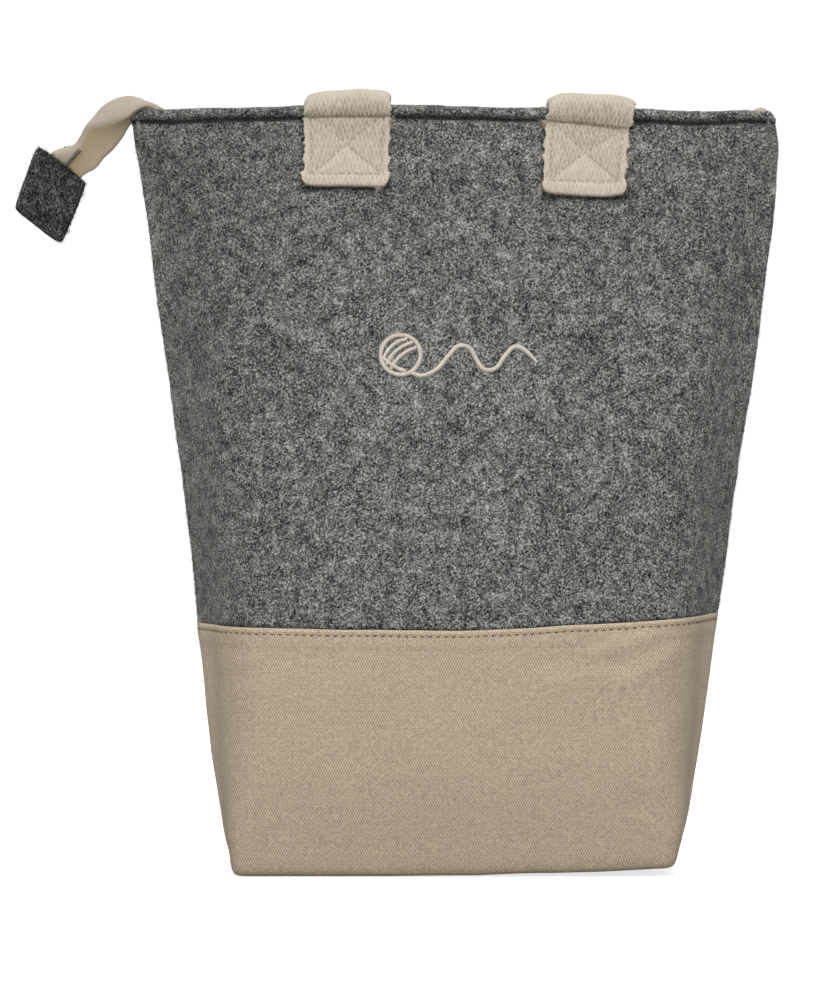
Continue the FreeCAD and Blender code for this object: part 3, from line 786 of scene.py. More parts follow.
# near-black thread for the hem and tab stitching; its darkness also stands in for the shade in
# the sunken stitch lines (painted shade)
DARK_THREAD = thread_material("dark_thread", light=(0.060, 0.060, 0.058),
                              dark=(0.015, 0.015, 0.015))
TAN_THREAD = thread_material("tan_thread", light=(0.200, 0.138, 0.078),
                             dark=(0.085, 0.055, 0.030))
CREAM_THREAD = thread_material("cream_thread", light=(0.700, 0.630, 0.530),
                               dark=(0.420, 0.360, 0.280))
SATIN_THREAD = thread_material("satin_thread", light=(0.900, 0.835, 0.735),
                               dark=(0.600, 0.530, 0.435), shine=0.8)
# the zip coil's plastic painted much darker, as shade, for the coil in the tail's fold
SHADED_COIL = plastic_material("zip_coil_painted_shade", color=(0.115, 0.095, 0.072), rough=0.5)
WOOL_HAIR = thread_material("wool_hair", light=(0.52, 0.52, 0.49), dark=(0.13, 0.13, 0.125),
                            shine=0.2)
DARK_HAIR = thread_material("wool_hair_dark", light=(0.14, 0.14, 0.137),
                            dark=(0.02, 0.02, 0.02), shine=0.1)


# =============================================================================
# Felt panels: outer face, sunken topstitch, puffy turned-in hem, inner face
# =============================================================================
HEM_Z = 426.2           # height of the hem's topstitch
HEM_PITCH = 4.3
STRAP_CENTRES = (-61.7, 75.4)
# (millimetres around from the middle, rise of the hem's topstitch)
HEM_RISE = table([
    (-190, 0.6), (-178, 0.3), (-164, -0.3), (-150, 0.1), (-134, 0.9), (-112, 0.9),
    (-92, 0.4), (-60, 0.6), (-10, 0.6), (10, 1.0), (28, 1.2), (45, 0.9), (60, 0.2),
    (110, 0.6), (150, 1.0), (190, 0.8)])
# (x, height of the canvas's folded upper edge)
CANVAS_EDGE = {
    -1: table([(-160, 140.6), (-150, 140.4), (-125, 139.4), (-90, 138.4), (-40, 137.6),
               (0, 137.3), (30, 138.2), (58, 139.9), (85, 141.4), (103, 142.3), (125, 143.8),
               (138, 145.0), (151, 146.0), (160, 146.0)]),
    1: table([(-160, 140.6), (0, 141.5), (160, 146.0)]),
}
# shadow round each sewn handle end: centre x, lower edge z, half width
STRAP_SHADOWS = {-1: ((-62.0, 386.6, 23.9), (73.0, 382.6, 22.9)),
                 1: ((-61.0, 387.0, 24.6), (74.8, 387.0, 24.6))}
# section of a panel, up the outside and down the inside: height, lift off the face, and
# kind (0 plain, 1 topstitch groove, 2 hem roll)
FELT_ROWS = [(z, 0.0, 0) for z in np.arange(124.0, 420.5, 1.75)] + [
    (421.5, 0.12, 0), (422.8, 0.3, 0), (423.8, 0.34, 0), (424.6, 0.1, 0), (425.2, -0.45, 1),
    (425.7, -1.0, 1), (426.2, -1.4, 1), (426.7, -1.15, 1), (427.2, -0.5, 1), (427.8, 0.25, 0),
    (428.6, 0.85, 0), (429.6, 1.25, 2), (430.6, 1.4, 2), (431.6, 1.3, 2), (432.5, 0.95, 2),
    (433.3, 0.35, 2), (433.9, -0.5, 2), (434.3, -1.5, 2), (434.5, -2.6, 2), (434.3, -3.7, 2),
    (433.6, -4.7, 0), (432.6, -5.4, 0), (431.0, -5.7, 0), (428.5, -5.5, 0), (426.3, -5.0, 0),
    (424.0, -5.3, 0), (420.0, -5.3, 0), (415.0, -5.3, 0), (411.2, -5.2, 0), (410.1, -4.7, 0),
    (409.8, -3.7, 0), (409.4, -2.6, 0)]
FELT_ROWS += [(z, -2.5, 0) for z in (405, 398, 390, 380, 368, 355, 340, 320, 300, 280, 260,
                                     240, 220, 200, 180, 160, 145, 132)]
FELT_ROWS += [(124.6, -2.3, 0), (123.6, -1.6, 0), (123.4, -0.8, 0)]
SEAM_COLUMNS = np.array((0.0, 0.0012, 0.0026, 0.0044, 0.0068, 0.0098))


def columns(count):
    """Fractions of the girth, crowded at the two seams."""
    middle = np.linspace(0.0135, 1 - 0.0135, count)
    return np.concatenate([SEAM_COLUMNS, middle, 1 - SEAM_COLUMNS[::-1]])


def hem_wander(run):
    return 0.25 * fbm(run / 17, 0, seed=47, octaves=1)


def edge_wander(run):
    return 0.25 * fbm(run / 22, 0, seed=57)


def canvas_edge(side, frac):
    """Height of the canvas's upper edge; it turns up at the seams."""
    x = on_face(side, frac, 140.0)[..., 0]
    return (CANVAS_EDGE[side](x) + 1.9 * np.clip(1 - frac / 0.030, 0, 1) ** 1.6
            + 1.2 * np.clip(1 - (1 - frac) / 0.022, 0, 1) ** 1.6)


def felt_shade(side, x, z, run, frac, outside):
    """Painted shade and painted light on the felt: at the hem, along the canvas edge, over the
    front and round the handles.
    """
    seam = np.minimum(frac, 1 - frac)
    # painted shade: a dark line in the hem's topstitch groove and the shaded lower half of the
    # roll
    dark = (1.15 * np.exp(-(np.abs(z - 426.15) / 0.90) ** 2.5)
            + 0.52 * ease((z - HEM_Z) / 0.6) * ease((430.8 - z) / 4.2))
    dark = dark * np.clip(0.92 + 0.45 * fbm(run / 6.0, z / 3.0, seed=49), 0, 1.1) * outside
    # painted shadow of the canvas's folded edge on the felt just above it
    over_edge = np.maximum(z - canvas_edge(side, frac), 0)
    dark = dark + 0.85 * np.exp(-(over_edge / 1.25) ** 2) * ease((seam - 0.02) / 0.06)
    # painted shade over the front: darker to the left, the right and the top; painted light
    # near the seams
    if side < 0:
        dark = dark + (0.13 * ease((-x - 50) / 80)
                       + 0.04 * ease((-x - 60) / 80) * ease((z - 240) / 80)
                       + 0.06 * ease((x - 50) / 90) + 0.13 * ease((z - 290) / 100)
                       - 0.16 * ease((0.07 - seam) / 0.07)) * outside
    # painted shadow below and beside each sewn handle end
    for centre, foot, half_width in STRAP_SHADOWS[side]:
        dx = np.maximum(np.abs(x - centre) - half_width, 0)
        dz = np.maximum(foot - z, 0) + np.maximum(z - 426, 0)
        away = np.hypot(dx, dz)
        dark = dark + (1.0 * np.exp(-(away / 2.3) ** 2) * (dz > 0) * (z < 400)
                       + 0.62 * np.exp(-(away / 1.5) ** 2) * (dz <= 0)) * outside
    return np.clip(dark, 0, 0.97)


def felt_panel(side, label):
    level, row_lift, kind = (row[:, None] for row in np.array(FELT_ROWS, float).T)
    frac, z = np.broadcast_arrays(columns(262)[None, :], level)
    run = run_at(side, frac, np.minimum(z, 430))
    outer = (row_lift > -2.0) & (level > 126)
    # matted surface, soft lumps
    relief = 0.16 * fbm(run / 2.6, z / 2.6, seed=31) + 0.16 * fbm(run / 9, z / 9, seed=33)
    lift = row_lift + np.where(outer, relief, 0.0)
    pucker = 0.5 + 0.5 * np.cos(2 * math.pi * run / HEM_PITCH)
    lift = lift - np.where(kind == 1, 0.35 * pucker, 0.0)
    # the hem thins out at the seams
    seam = ease((np.minimum(frac, 1 - frac) - 0.0095) / 0.012)
    hem = (z > 421) & (lift > -2.0) & (lift < 2.5)
    lift = np.where(hem, lift * (0.18 + 0.82 * seam), lift)
    # the roll is fuller between stitches and wanders a little along its length
    roll = (0.30 * fbm(run / 14, 3.3, seed=41) + 0.22 * (1 - pucker)
            + 0.25 * fbm(run / 4.0, z / 4.0, seed=43))
    lift = lift + np.where(kind == 2, roll, 0.0)
    moved_z = (z + np.where(kind == 2, 0.35 * fbm(run / 11, 0, seed=45), 0.0)
               + np.where(kind == 1, hem_wander(run), 0.0)
               + HEM_RISE(run) * np.exp(-((z - HEM_Z) / 3.2) ** 2))
    # under the sewn handle ends the hem is pressed flat
    x = on_face(side, frac, np.minimum(moved_z, Z_HIGH - 1))[..., 0]
    press = sum(ease((27.5 - np.abs(x - centre)) / 3.0) for centre in STRAP_CENTRES)
    lift = np.where(outer & (lift > 0.2) & (z > 423), lift * (1 - 0.75 * press), lift)
    # painted shade and painted light on the felt's outer face
    dark = felt_shade(side, x, z, run, frac, outside=lift > -2.2)
    build = Build()
    build.grid(on_face(side, frac, moved_z, lift), np.stack([run, z, dark], -1),
               wrap_v=True, flip=(side > 0))
    add_part(build, "felt_panel_" + label, FELT,
             replaces=[label + "_felt_panel"], fill_holes=True)


for side, label in SIDES:
    felt_panel(side, label)

# =============================================================================
# Canvas foot
# =============================================================================
# (x, how far the front's lower edge sags)
FOOT_SAG = table([(-300, 0.0), (-60, 0.0), (-30, 0.3), (-9, 0.7), (13, 1.4), (36, 1.5),
                  (58, 2.1), (80, 2.3), (102, 1.7), (122, 1.0), (300, 1.0)])
CANVAS_PUCKER = 4.3     # spacing of the puckers under the topstitch
# section of a wall, up the outside and down the inside: kind, distance, lift off the felt's
# face; kind 0 measures up from the floor, kind 1 down from the folded edge
CANVAS_ROWS = [(0, 0.55, -7.0), (0, 0.12, -5.2), (0, 0.10, -3.6), (0, 0.42, -2.1),
               (0, 1.15, -0.9), (0, 2.3, -0.1), (0, 3.8, 0.5), (0, 5.6, 0.8), (0, 8.0, 1.0)]
CANVAS_ROWS += [(0, z, 1.0) for z in np.arange(10.5, 124.0, 1.9)]
CANVAS_ROWS += [
    (1, 12.6, 1.0), (1, 11.4, 1.05), (1, 10.4, 1.25), (1, 9.4, 1.45), (1, 8.2, 1.5),
    (1, 7.0, 1.5), (1, 6.0, 1.45), (1, 5.0, 1.45), (1, 4.2, 1.30), (1, 3.5, 1.12),
    (1, 2.9, 1.35), (1, 2.4, 1.6), (1, 1.8, 1.75), (1, 1.4, 1.8), (1, 1.1, 1.65),
    (1, 0.5, 1.4), (1, 0.1, 1.05), (1, 0.0, 0.65), (1, 0.35, 0.25), (1, 6, 0.12),
    (1, 14, 0.12)]
CANVAS_ROWS += [(0, z, 0.12) for z in (118, 105, 90, 75, 60, 45, 30, 18, 9)]
CANVAS_ROWS += [(0, 4.0, -0.2), (0, 2.0, -1.8), (0, 1.5, -4.0), (0, 1.45, -7.0)]


def canvas_wall(build, side):
    fracs = columns(210)
    edge = canvas_edge(side, fracs)[None, :]
    kind, distance, row_lift = (row[:, None] for row in np.array(CANVAS_ROWS, float).T)
    frac = np.broadcast_to(fracs[None, :], (len(CANVAS_ROWS), len(fracs)))
    z = np.where(kind == 0, distance + 0 * frac, edge - distance)
    z = np.where((kind == 0) & (distance > 100), distance * (edge / 138.0), z)
    run = run_at(side, frac, z)
    outer = row_lift > 0.2
    relief = 0.07 * fbm(run / 3.0, z / 3.0, seed=51) + 0.12 * fbm(run / 16, z / 7, seed=53)
    # fine puckers hang from the topstitching
    pucker = np.exp(-np.maximum(edge - z - 4.0, 0) / 6.0) * (
        0.22 * fbm(run / 3.2, z / 30, seed=55)
        + 0.14 * np.cos(2 * math.pi * run / CANVAS_PUCKER))
    lift = row_lift + np.where(outer, relief + pucker * (z < edge - 3), 0.0)
    from_seam = np.minimum(frac, 1 - frac)
    thinning = 0.12 + 0.88 * ease((from_seam - 0.006) / 0.030)
    lift = np.where(outer, lift * thinning, lift)
    points = on_face(side, frac, z + np.where(kind == 1, edge_wander(run), 0.0), lift)
    x = points[..., 0]
    sag = (FOOT_SAG(x) if side < 0 else 1.0 * ease((x - 100) / 22)) * ease((26 - z) / 26)
    points[..., 2] = np.where(kind == 0, np.maximum(points[..., 2] - sag, 0.16),
                              points[..., 2])
    stitch_row = (kind == 1) & (np.abs(distance - 3.5) < 0.2)
    fold = (kind == 1) & (distance < 2.5) & (distance > 0.05) & (row_lift > 0.5)
    # painted shade: darker near the floor and along the stitch row; a painted highlight on the
    # folded lip and painted light near the seams; a little random tone
    painted_shade_and_tone = (0.07 * (1 - ease(z / 14.0)) + stitch_row * 0.10 - fold * 0.16
             + 0.03 * np.clip(fbm(run / 40, z / 30, seed=59), 0, 1)
             - 0.30 * ease((0.10 - from_seam) / 0.06))
    build.grid(points, np.stack([run, z, np.clip(painted_shade_and_tone, -0.3, 1)], -1),
               wrap_v=True, flip=(side > 0))


def canvas_base(build):
    """The bag's bottom: a thin sheet that rises toward its front right corner."""
    frac_x, frac_y = np.meshgrid(np.linspace(-1, 1, 60), np.linspace(-1, 1, 30))
    x = np.where(frac_x < 0, 120.5, 116.5) * frac_x
    y = 51.0 * frac_y
    near_front = ease(-(frac_y + 0.45) / 0.55)
    z = (0.5 + 0.25 * fbm(x / 30, y / 30, seed=61) + 5.0 * ease((x + 60) / 180) * near_front
         + 2.2 * ease((x - 60) / 45) * near_front)
    z = np.maximum(z, 0.5 + 5.6 * ease((x - 30) / 60) * np.clip((-frac_y - 0.02) / 0.75, 0, 1))
    z = np.maximum(z, 0.5 + 4.3 * ease((x - 70) / 45) * (1 - ease(y / 38)))
    cloth = np.stack([x, y, 0.08 + 0 * x], -1)
    build.grid(np.stack([x, y, np.maximum(z, 0.15)], -1), cloth, flip=True)
    build.grid(np.stack([x, y, z + 1.0], -1), cloth)
    build.join_rims(*x.shape)


foot = Build()
canvas_wall(foot, -1)
canvas_wall(foot, 1)
canvas_base(foot)
add_part(foot, "canvas_foot_cloth", CANVAS, replaces=["canvas_foot"],
         fill_holes=True)


# =============================================================================
# Topstitching
# =============================================================================
def stitch_run(build, points, normals, pitch, length, radius, sink, lift, wobble, seed,
               skip=None):
    """Separate stitches along a line: each rises out of the cloth, lies on it and dives."""
    lengths = lengths_along(points)
    count = int(lengths[-1] / pitch)
    spare = lengths[-1] - count * pitch
    t = np.linspace(0, 1, 7)
    rise = lift - (lift + sink) * np.abs(2 * t - 1) ** 3.5
    for i in range(count):
        query = spare / 2 + i * pitch + (pitch - length) / 2 + t * length
        path = at_lengths(query, lengths, points)
        if skip is not None and skip(path[3]):
            continue
        normal = unit(at_lengths(query, lengths, normals))
        sideways = unit(np.cross(normal, path[-1] - path[0]))
        drift = wobble * float(value_noise(i * 0.73, seed * 1.7, seed=seed))
        build.tube(path + normal * rise[:, None] + sideways * drift, radius)


def under_strap(point):
    return any(abs(point[0] - centre) < 25.5 for centre in STRAP_CENTRES)


for side, label in SIDES:
    frac = np.linspace(0.012, 0.988, 1400)
    run = run_at(side, frac, HEM_Z)
    line = face_line(side, frac, HEM_Z + hem_wander(run) + HEM_RISE(run), -1.25)
    build = Build()
    stitch_run(build, *line, pitch=HEM_PITCH, length=3.3, radius=0.36, sink=0.5, lift=0.05,
               wobble=0.12, seed=1, skip=under_strap)
    add_part(build, "hem_stitching_" + label, DARK_THREAD,
             replaces=[label + "_hem_stitches"])
    stitch_z = canvas_edge(side, frac) - 3.5
    run = run_at(side, frac, stitch_z)
    line = face_line(side, frac, stitch_z + edge_wander(run), 1.12)
    build = Build()
    stitch_run(build, *line, pitch=4.4, length=1.5, radius=0.40, sink=0.30, lift=0.20,
               wobble=0.22, seed=2)
    add_part(build, "canvas_stitching_" + label, TAN_THREAD,
             replaces=[label + "_canvas_stitches"])


# =============================================================================
# Handle webbing
# =============================================================================
HALF_WIDTH = 25.2
THICKNESS, RELIEF = 1.75, 0.42
COLUMN_PITCH, ROW_PITCH = 1.30, 7.1
EDGE_LOOP = 2.05        # spacing of the weft loops along the woven edge


def weave(across, along):
    """Relief of the webbing, 0..1: columns of long staggered floats, then the selvage."""
    across = across + 0.16 * np.sin(along * 2 * math.pi / ROW_PITCH)
    column = np.floor((across + HALF_WIDTH) / COLUMN_PITCH)
    middle = (column + 0.5) * COLUMN_PITCH - HALF_WIDTH
    row = along / ROW_PITCH + np.mod(column, 2) * 0.5
    row = row + 0.20 * fbm(column * 0.8, along / 7.0, seed=11)
    row = row + 0.16 * (lattice_hash(column, np.floor(row), 3) - 0.5)
    strength = lattice_hash(column, np.floor(row), 7)
    hump = np.clip(np.cos(math.pi * (across - middle) / COLUMN_PITCH * 0.92), 0, 1) ** 0.7
    float_ = (np.sin(math.pi * row) ** 2) ** 0.75
    body = (0.28 + 0.72 * hump) * (0.28 + 0.72 * float_) * (0.72 + 0.42 * strength)
    edge = ease((np.abs(across) - 23.9) / 0.9)
    selvage = 0.50 + 0.35 * np.abs(np.sin(math.pi * along / EDGE_LOOP))
    return body * (1 - edge) + selvage * edge


def strip(build, mid, across_mm, along_mm, seed, extra=0.0, groove=0.0, shade=0.0, flatten_and_shade=0.0,
          ragged=0.0, calm=0.0):
    """A webbing strip about its mid surface (stations, across, 3), woven on both faces.

    extra and groove thicken and thin the outer face; groove and shade also darken it as painted
    shade, and flatten_and_shade flattens its weave and holds its tone at an even level lowered
    as painted shade; ragged roughens the two edges and calm, one value per station, stills
    them.
    """
    stations, count = mid.shape[:2]
    d_across = np.gradient(mid, axis=1)
    normal = unit(np.cross(d_across, np.gradient(mid, axis=0)))
    along, across = np.meshgrid(along_mm, across_mm, indexing="ij")
    relief = weave(across, along)
    # the weave is flattened toward an even level; on the fold that level is lowered as painted
    # shade
    relief = relief * (1 - flatten_and_shade) + 0.50 * flatten_and_shade
    back_relief = weave(across, along + ROW_PITCH / 2)
    edge = np.sqrt(np.clip(1 - (np.abs(across) / (HALF_WIDTH + 0.12)) ** 14, 0, 1))
    half_thick = THICKNESS * (0.45 + 0.55 * edge) / 2
    top = half_thick + RELIEF * relief * (0.5 + 0.5 * edge) + extra - groove
    bottom = half_thick + RELIEF * back_relief * (0.5 + 0.5 * edge)
    # tone of the outer face: the weave's relief, darkened in the stitch grooves and by shade,
    # both painted shade
    light = np.clip(relief, 0, 1) * (1 - 0.12 * np.clip(groove / 0.55, 0, 1)) - shade
    outer = mid + normal * top[..., None]
    inner = mid - normal * bottom[..., None]
    # woven edge: small loops of weft stand out sideways
    station = along[:, :1]
    loops = (0.30 * np.abs(np.sin(math.pi * station / EDGE_LOOP))
             + 0.25 * fbm(station / 3.0, seed, seed=71))
    sideways = unit(d_across)
    keep = np.asarray(1.0 - calm)
    rims = []
    for column, sign, scale, phase, rag_seed in ((slice(0, 1), -1, 3.4, 3.1, 73),
                                                 (slice(-1, None), 1, 3.1, 5.7, 74)):
        rag = np.clip(fbm(station / scale, seed * phase, seed=rag_seed), 0, 1)
        reach = ((loops + ragged * rag) * keep)[..., None]
        out = sign * sideways[:, column]
        outer[:, column] += out * reach
        inner[:, column] += out * reach
        rims.append(0.5 * (outer[:, column] + inner[:, column])
                    + out * (0.35 + reach) * keep[..., None])
    section = np.concatenate([rims[0], outer, rims[1], inner[:, ::-1]], 1)
    cloth = np.stack([across, along, light], -1)
    back_cloth = np.stack([across, along, np.clip(back_relief, 0, 1)], -1)
    cloth = np.concatenate([cloth[:, :1], cloth, cloth[:, -1:], back_cloth[:, ::-1]], 1)
    first = build.count
    build.grid(section, cloth, wrap_u=True, flip=True)
    # flat end caps between the two faces
    for base, step in ((first, 1), (first + (stations - 1) * section.shape[1], -1)):
        front = base + 1 + np.arange(count)
        back = base + 2 + count + np.arange(count)[::-1]
        quads = np.stack([front[:-1], front[1:], back[1:], back[:-1]], -1)
        corners = np.array([[base, front[0], back[0]],
                            [front[-1], base + count + 1, back[-1]]])
        build.faces += [quads[:, ::step], corners[:, ::step]]


# ---- sewn handle ends --------------------------------------------------------
ACROSS = np.linspace(-HALF_WIDTH, HALF_WIDTH, 158)
BOX_HALF = 21.8         # half width of the stitched box
BOX_FOOT = 6.6          # lower side of the box above the strap's lower edge
FOLD_TOP_Z = 441        # height where the strap reaches its upper x
FRONT_STEP, BACK_STEP = 0.72, 0.9


def level(values):
    return 0 * values


# foot_z: height of the lower edge; bottom_x, top_x: centre there and at the fold.
# Tables: width (along, share of the webbing's width), shift (along, sideways),
# foot_curve, crease and drop (across, height of the lower edge and of the hem line, and
# sag of the fold).
FRONT_STRAPS = {
    "left": SimpleNamespace(
        bottom_x=-61.9, top_x=-61.3, foot_z=387.2, fold_x=-61.4, fold_width=0.948,
        drop_offset=-1.4,
        width=table([(0, 0.975), (5, 0.960), (9, 0.935), (14, 0.915), (25, 0.920),
                     (31, 0.945), (38, 0.948), (46, 0.948)]),
        shift=table([(0, -0.4), (8, -0.1), (16, 0.1), (46, 0.0)]),
        foot_curve=table([(-25.2, 2.6), (-24, 0.9), (-22, 0.2), (-18, -0.3), (0, -0.8),
                          (12, -1.0), (18, -1.2), (22, -1.0), (24, 0.2), (25.2, 2.2)]),
        crease=table([(-25.2, 1.9), (25.2, 2.0)]),
        drop=table([(-25.2, 6.5), (-24, 4.6), (-22, 2.8), (-17.5, 1.7), (-10, 0.9), (0, 0.1),
                    (6, -0.4), (10, -0.4), (14, -0.1), (20, 0.2), (23, 0.6), (24.5, 1.2),
                    (25.2, 2.0)])),
    "right": SimpleNamespace(
        bottom_x=73.6, top_x=77.0, foot_z=384.6, fold_x=77.4, fold_width=0.937,
        drop_offset=1.1,
        width=table([(0, 0.925), (4, 0.912), (8, 0.905), (12.5, 0.890), (18, 0.885),
                     (24, 0.905), (30, 0.900), (35, 0.905), (42, 0.918), (46, 0.930)]),
        shift=table([(0, -0.5), (4, -0.6), (10, -1.3), (20, -1.3), (35, -1.0), (42, -0.7),
                     (50, -0.4)]),
        foot_curve=table([(-25.2, 1.0), (-24, -0.2), (-21.4, -1.0), (-17.7, -1.6),
                          (-10.2, -2.0), (-2.8, -2.4), (4.6, -2.5), (12, -2.8), (19.5, -2.0),
                          (23.2, -1.1), (25.2, 0.8)]),
        crease=table([(-25.2, -0.4), (-10, -1.2), (5, -2.8), (16, -4.1), (25.2, -5.2)]),
        drop=table([(-25.2, 3.9), (-24.8, 3.1), (-23, 1.3), (-21.2, 0.6), (-17.5, -0.4),
                    (-12, -0.6), (-6.7, -0.3), (0, -0.1), (8, 0.1), (15, 0.8), (18.8, 1.3),
                    (22.4, 2.2), (24.2, 2.9), (25.2, 3.3)])),
}
BACK_WIDTH = table([(0, 1.010), (6, 1.000), (14, 0.975), (28, 0.968), (38, 0.985),
                    (46, 0.992)])
# mid surface of a front strap from the hem stitching over the rim, as (y, z)
FRONT_FOLD = [(-12.3, 426.4), (-13.6, 426.9), (-15.6, 428.6), (-16.9, 431.4), (-17.0, 434.4),
              (-16.0, 437.2), (-13.9, 439.6), (-11.0, 441.0), (-7.5, 441.6), (-3.0, 441.7),
              (4.0, 441.7)]


def box_lines(top):
    """The stitched box and its cross, as (across, along) segments."""
    left_foot, right_foot = (-BOX_HALF, BOX_FOOT), (BOX_HALF, BOX_FOOT)
    left_top, right_top = (-BOX_HALF, top), (BOX_HALF, top)
    return [(left_foot, right_foot), (left_top, right_top), (left_foot, left_top),
            (right_foot, right_top), (left_foot, right_top), (left_top, right_foot)]


def segment_distance(across, along, start, end):
    dx, dy = end[0] - start[0], end[1] - start[1]
    t = ((across - start[0]) * dx + (along - start[1]) * dy) / (dx * dx + dy * dy)
    t = np.clip(t, 0, 1)
    return np.hypot(across - start[0] - t * dx, along - start[1] - t * dy)


def patch_profile(across, along, top):
    """Extra thickness and stitch groove over the sewn end."""
    away = np.full(across.shape, 1e9)
    for start, end in box_lines(top):
        away = np.minimum(away, segment_distance(across, along, start, end))
    sewn = ease((top + 2.2 - along) / 2.0)
    groove = sewn * 0.42 * np.exp(-(away / 1.6) ** 2)
    # pulled down hard along the row sewn through the hem
    puff = sewn * 0.70 * ease(away / 7.5) - 0.55 * np.exp(-((along - top) / 1.1) ** 2)
    rounding = np.clip(1 - ((3.1 - along) / 3.4) ** 2 * (along < 3.1), 0.0, 1)
    lip = 1.05 * ease((BOX_FOOT - along) / 1.6) * np.sqrt(rounding)
    return puff + lip, groove


def strap_centre(strap, along):
    return lerp(strap.bottom_x, strap.top_x, along / (FOLD_TOP_Z - strap.foot_z))


def patch_surface(side, strap, step):
    """Mid surface of the sewn end, lower edge to hem stitch line, following the cloth."""
    count = int((HEM_Z - strap.foot_z) / step)
    row_z = np.linspace(strap.foot_z, HEM_Z, count + 1)
    along_mm = row_z - strap.foot_z
    along = along_mm[:, None]
    corner = 1.7
    arc = corner - np.sqrt(np.clip(corner ** 2 - (corner - along) ** 2, 0, None))
    shrink = np.where(along < corner, arc, 0.0)
    across = ACROSS * (1 - shrink / HALF_WIDTH * ease((np.abs(ACROSS) - 12) / 13))
    x = strap_centre(strap, along) + across * strap.width(along) + strap.shift(along)
    # the lower edge is not ruler-straight
    z = (row_z[:, None] + strap.foot_curve(across) * ease((14 - along) / 14)
         + strap.crease(across) * ease((along - 8) / (along_mm[-1] - 8))
         + 0.3 * fbm(x / 13, 0, seed=81) * ease((10 - along) / 10))
    lift = 0.30 + 0.85 + 0.45 * ease((BOX_FOOT - along) / 2.0)
    lift = lift + 0.25 * fbm(x / 18, z / 18, seed=83, octaves=1)
    return on_face(side, frac_at_x(side, x, z), z, lift), along_mm


def box_stitching(side, strap, top, width, name, replaces=(), **stitch):
    """Stitches sunk in the grooves of the box; width scales them across the strap."""
    build = Build()
    for start, end in box_lines(top):
        across, along = (np.linspace(start[k], end[k], 60) for k in (0, 1))
        x = strap_centre(strap, along) + strap.shift(along) + across * width(along)
        z = strap.foot_z + along + strap.crease(across) * ease((along - 8) / (top - 8))
        line = face_line(side, frac_at_x(side, x, z), z, 2.05)
        stitch_run(build, *line, pitch=3.9, sink=0.45, seed=5, **stitch)
    add_part(build, name, CREAM_THREAD, replaces=replaces)


def fray(build, roots, rng, count, direction, length=(1.2, 3.2), spread=0.8, radius=0.10):
    """Loose cotton fibres growing from random points."""
    t = np.linspace(0, 1, 5)[:, None]
    for _ in range(count):
        root = roots[rng.integers(len(roots))] + rng.normal(0, 0.15, 3)
        heading = np.array(direction, float) + rng.normal(0, spread, 3)
        heading /= np.linalg.norm(heading)
        reach = rng.uniform(*length)
        bend = rng.normal(0, 0.5, 3)
        build.tube(root + heading * reach * t + bend * reach * t ** 2,
                   radius * (1 - 0.5 * t[:, 0]), sides=4)


def strap_drop(strap, across):
    """How far the folded strap sags across its width, in millimetres."""
    return strap.drop(across) + strap.drop_offset


def strap_shade(across, along, top):
    """Painted shade on a front strap: above the hem row, at its stitches, over the quilting and
    over the fold.
    """
    shade = (0.20 * ease((along - top + 0.2) / 0.8) * ease((top + 10.5 - along) / 9.0)
             + 0.05 * np.exp(-((along - top) / 0.7) ** 2))
    # painted shade: dark dots along the hem row's stitches, in the fold's shadow
    holes = (0.5 + 0.5 * np.cos(2 * math.pi * (across + 0.4 * np.sin(across)) / 4.05)) ** 4
    shade = shade + 0.85 * np.exp(-((along - top + 0.3) / 0.8) ** 2) * holes
    # the box's lower triangle puffs toward the light, the upper one away from it
    box_x = across / BOX_HALF
    box_y = (along - 0.5 * (BOX_FOOT + top)) / (0.5 * (top - BOX_FOOT))
    shade = shade + 0.16 * ease((box_y - np.abs(box_x)) / 0.16) * (along < top)
    shade = shade - 0.13 * ease((-box_y - np.abs(box_x)) / 0.16) * (along > BOX_FOOT)
    shade = shade + 0.05 * ease((np.abs(box_x) - np.abs(box_y)) / 0.16) * (np.abs(box_x) < 1)
    # painted shade: the whole fold a little darker
    return shade + 0.10 * ease((along - top) / 4)


def strap_fray(label, patch, rng):
    """Frayed edges of a sewn front end, with two thicker tufts."""
    left, right = (patch[:, k] + [0, -0.6, 0] for k in (0, -1))
    foot = patch[0] + [0, -0.8, 0]
    build = Build()
    fray(build, left, rng, 26, direction=(-1, -0.25, 0.1))
    fray(build, right, rng, 30, direction=(1, -0.25, 0.1))
    fray(build, foot, rng, 16, direction=(0, -0.3, -1), length=(0.8, 2.2))
    count = len(right)
    if label == "left":
        tuft, tuft_way = right[int(count * 0.80):int(count * 0.95)], (1, -0.3, -0.1)
        corner, corner_way = foot[134:143], (0.3, -0.3, -1)
    else:
        tuft, tuft_way = left[int(count * 0.955):], (-1, -0.3, -0.1)
        corner, corner_way = right[int(count * 0.50):int(count * 0.62)], (1, -0.3, -0.2)
    fray(build, tuft, rng, 44, tuft_way, length=(1.4, 3.4), spread=0.45, radius=0.16)
    fray(build, corner, rng, 22, corner_way, length=(1.4, 3.2), spread=0.35, radius=0.16)
    add_part(build, "front_strap_fray_" + label, CREAM_THREAD)


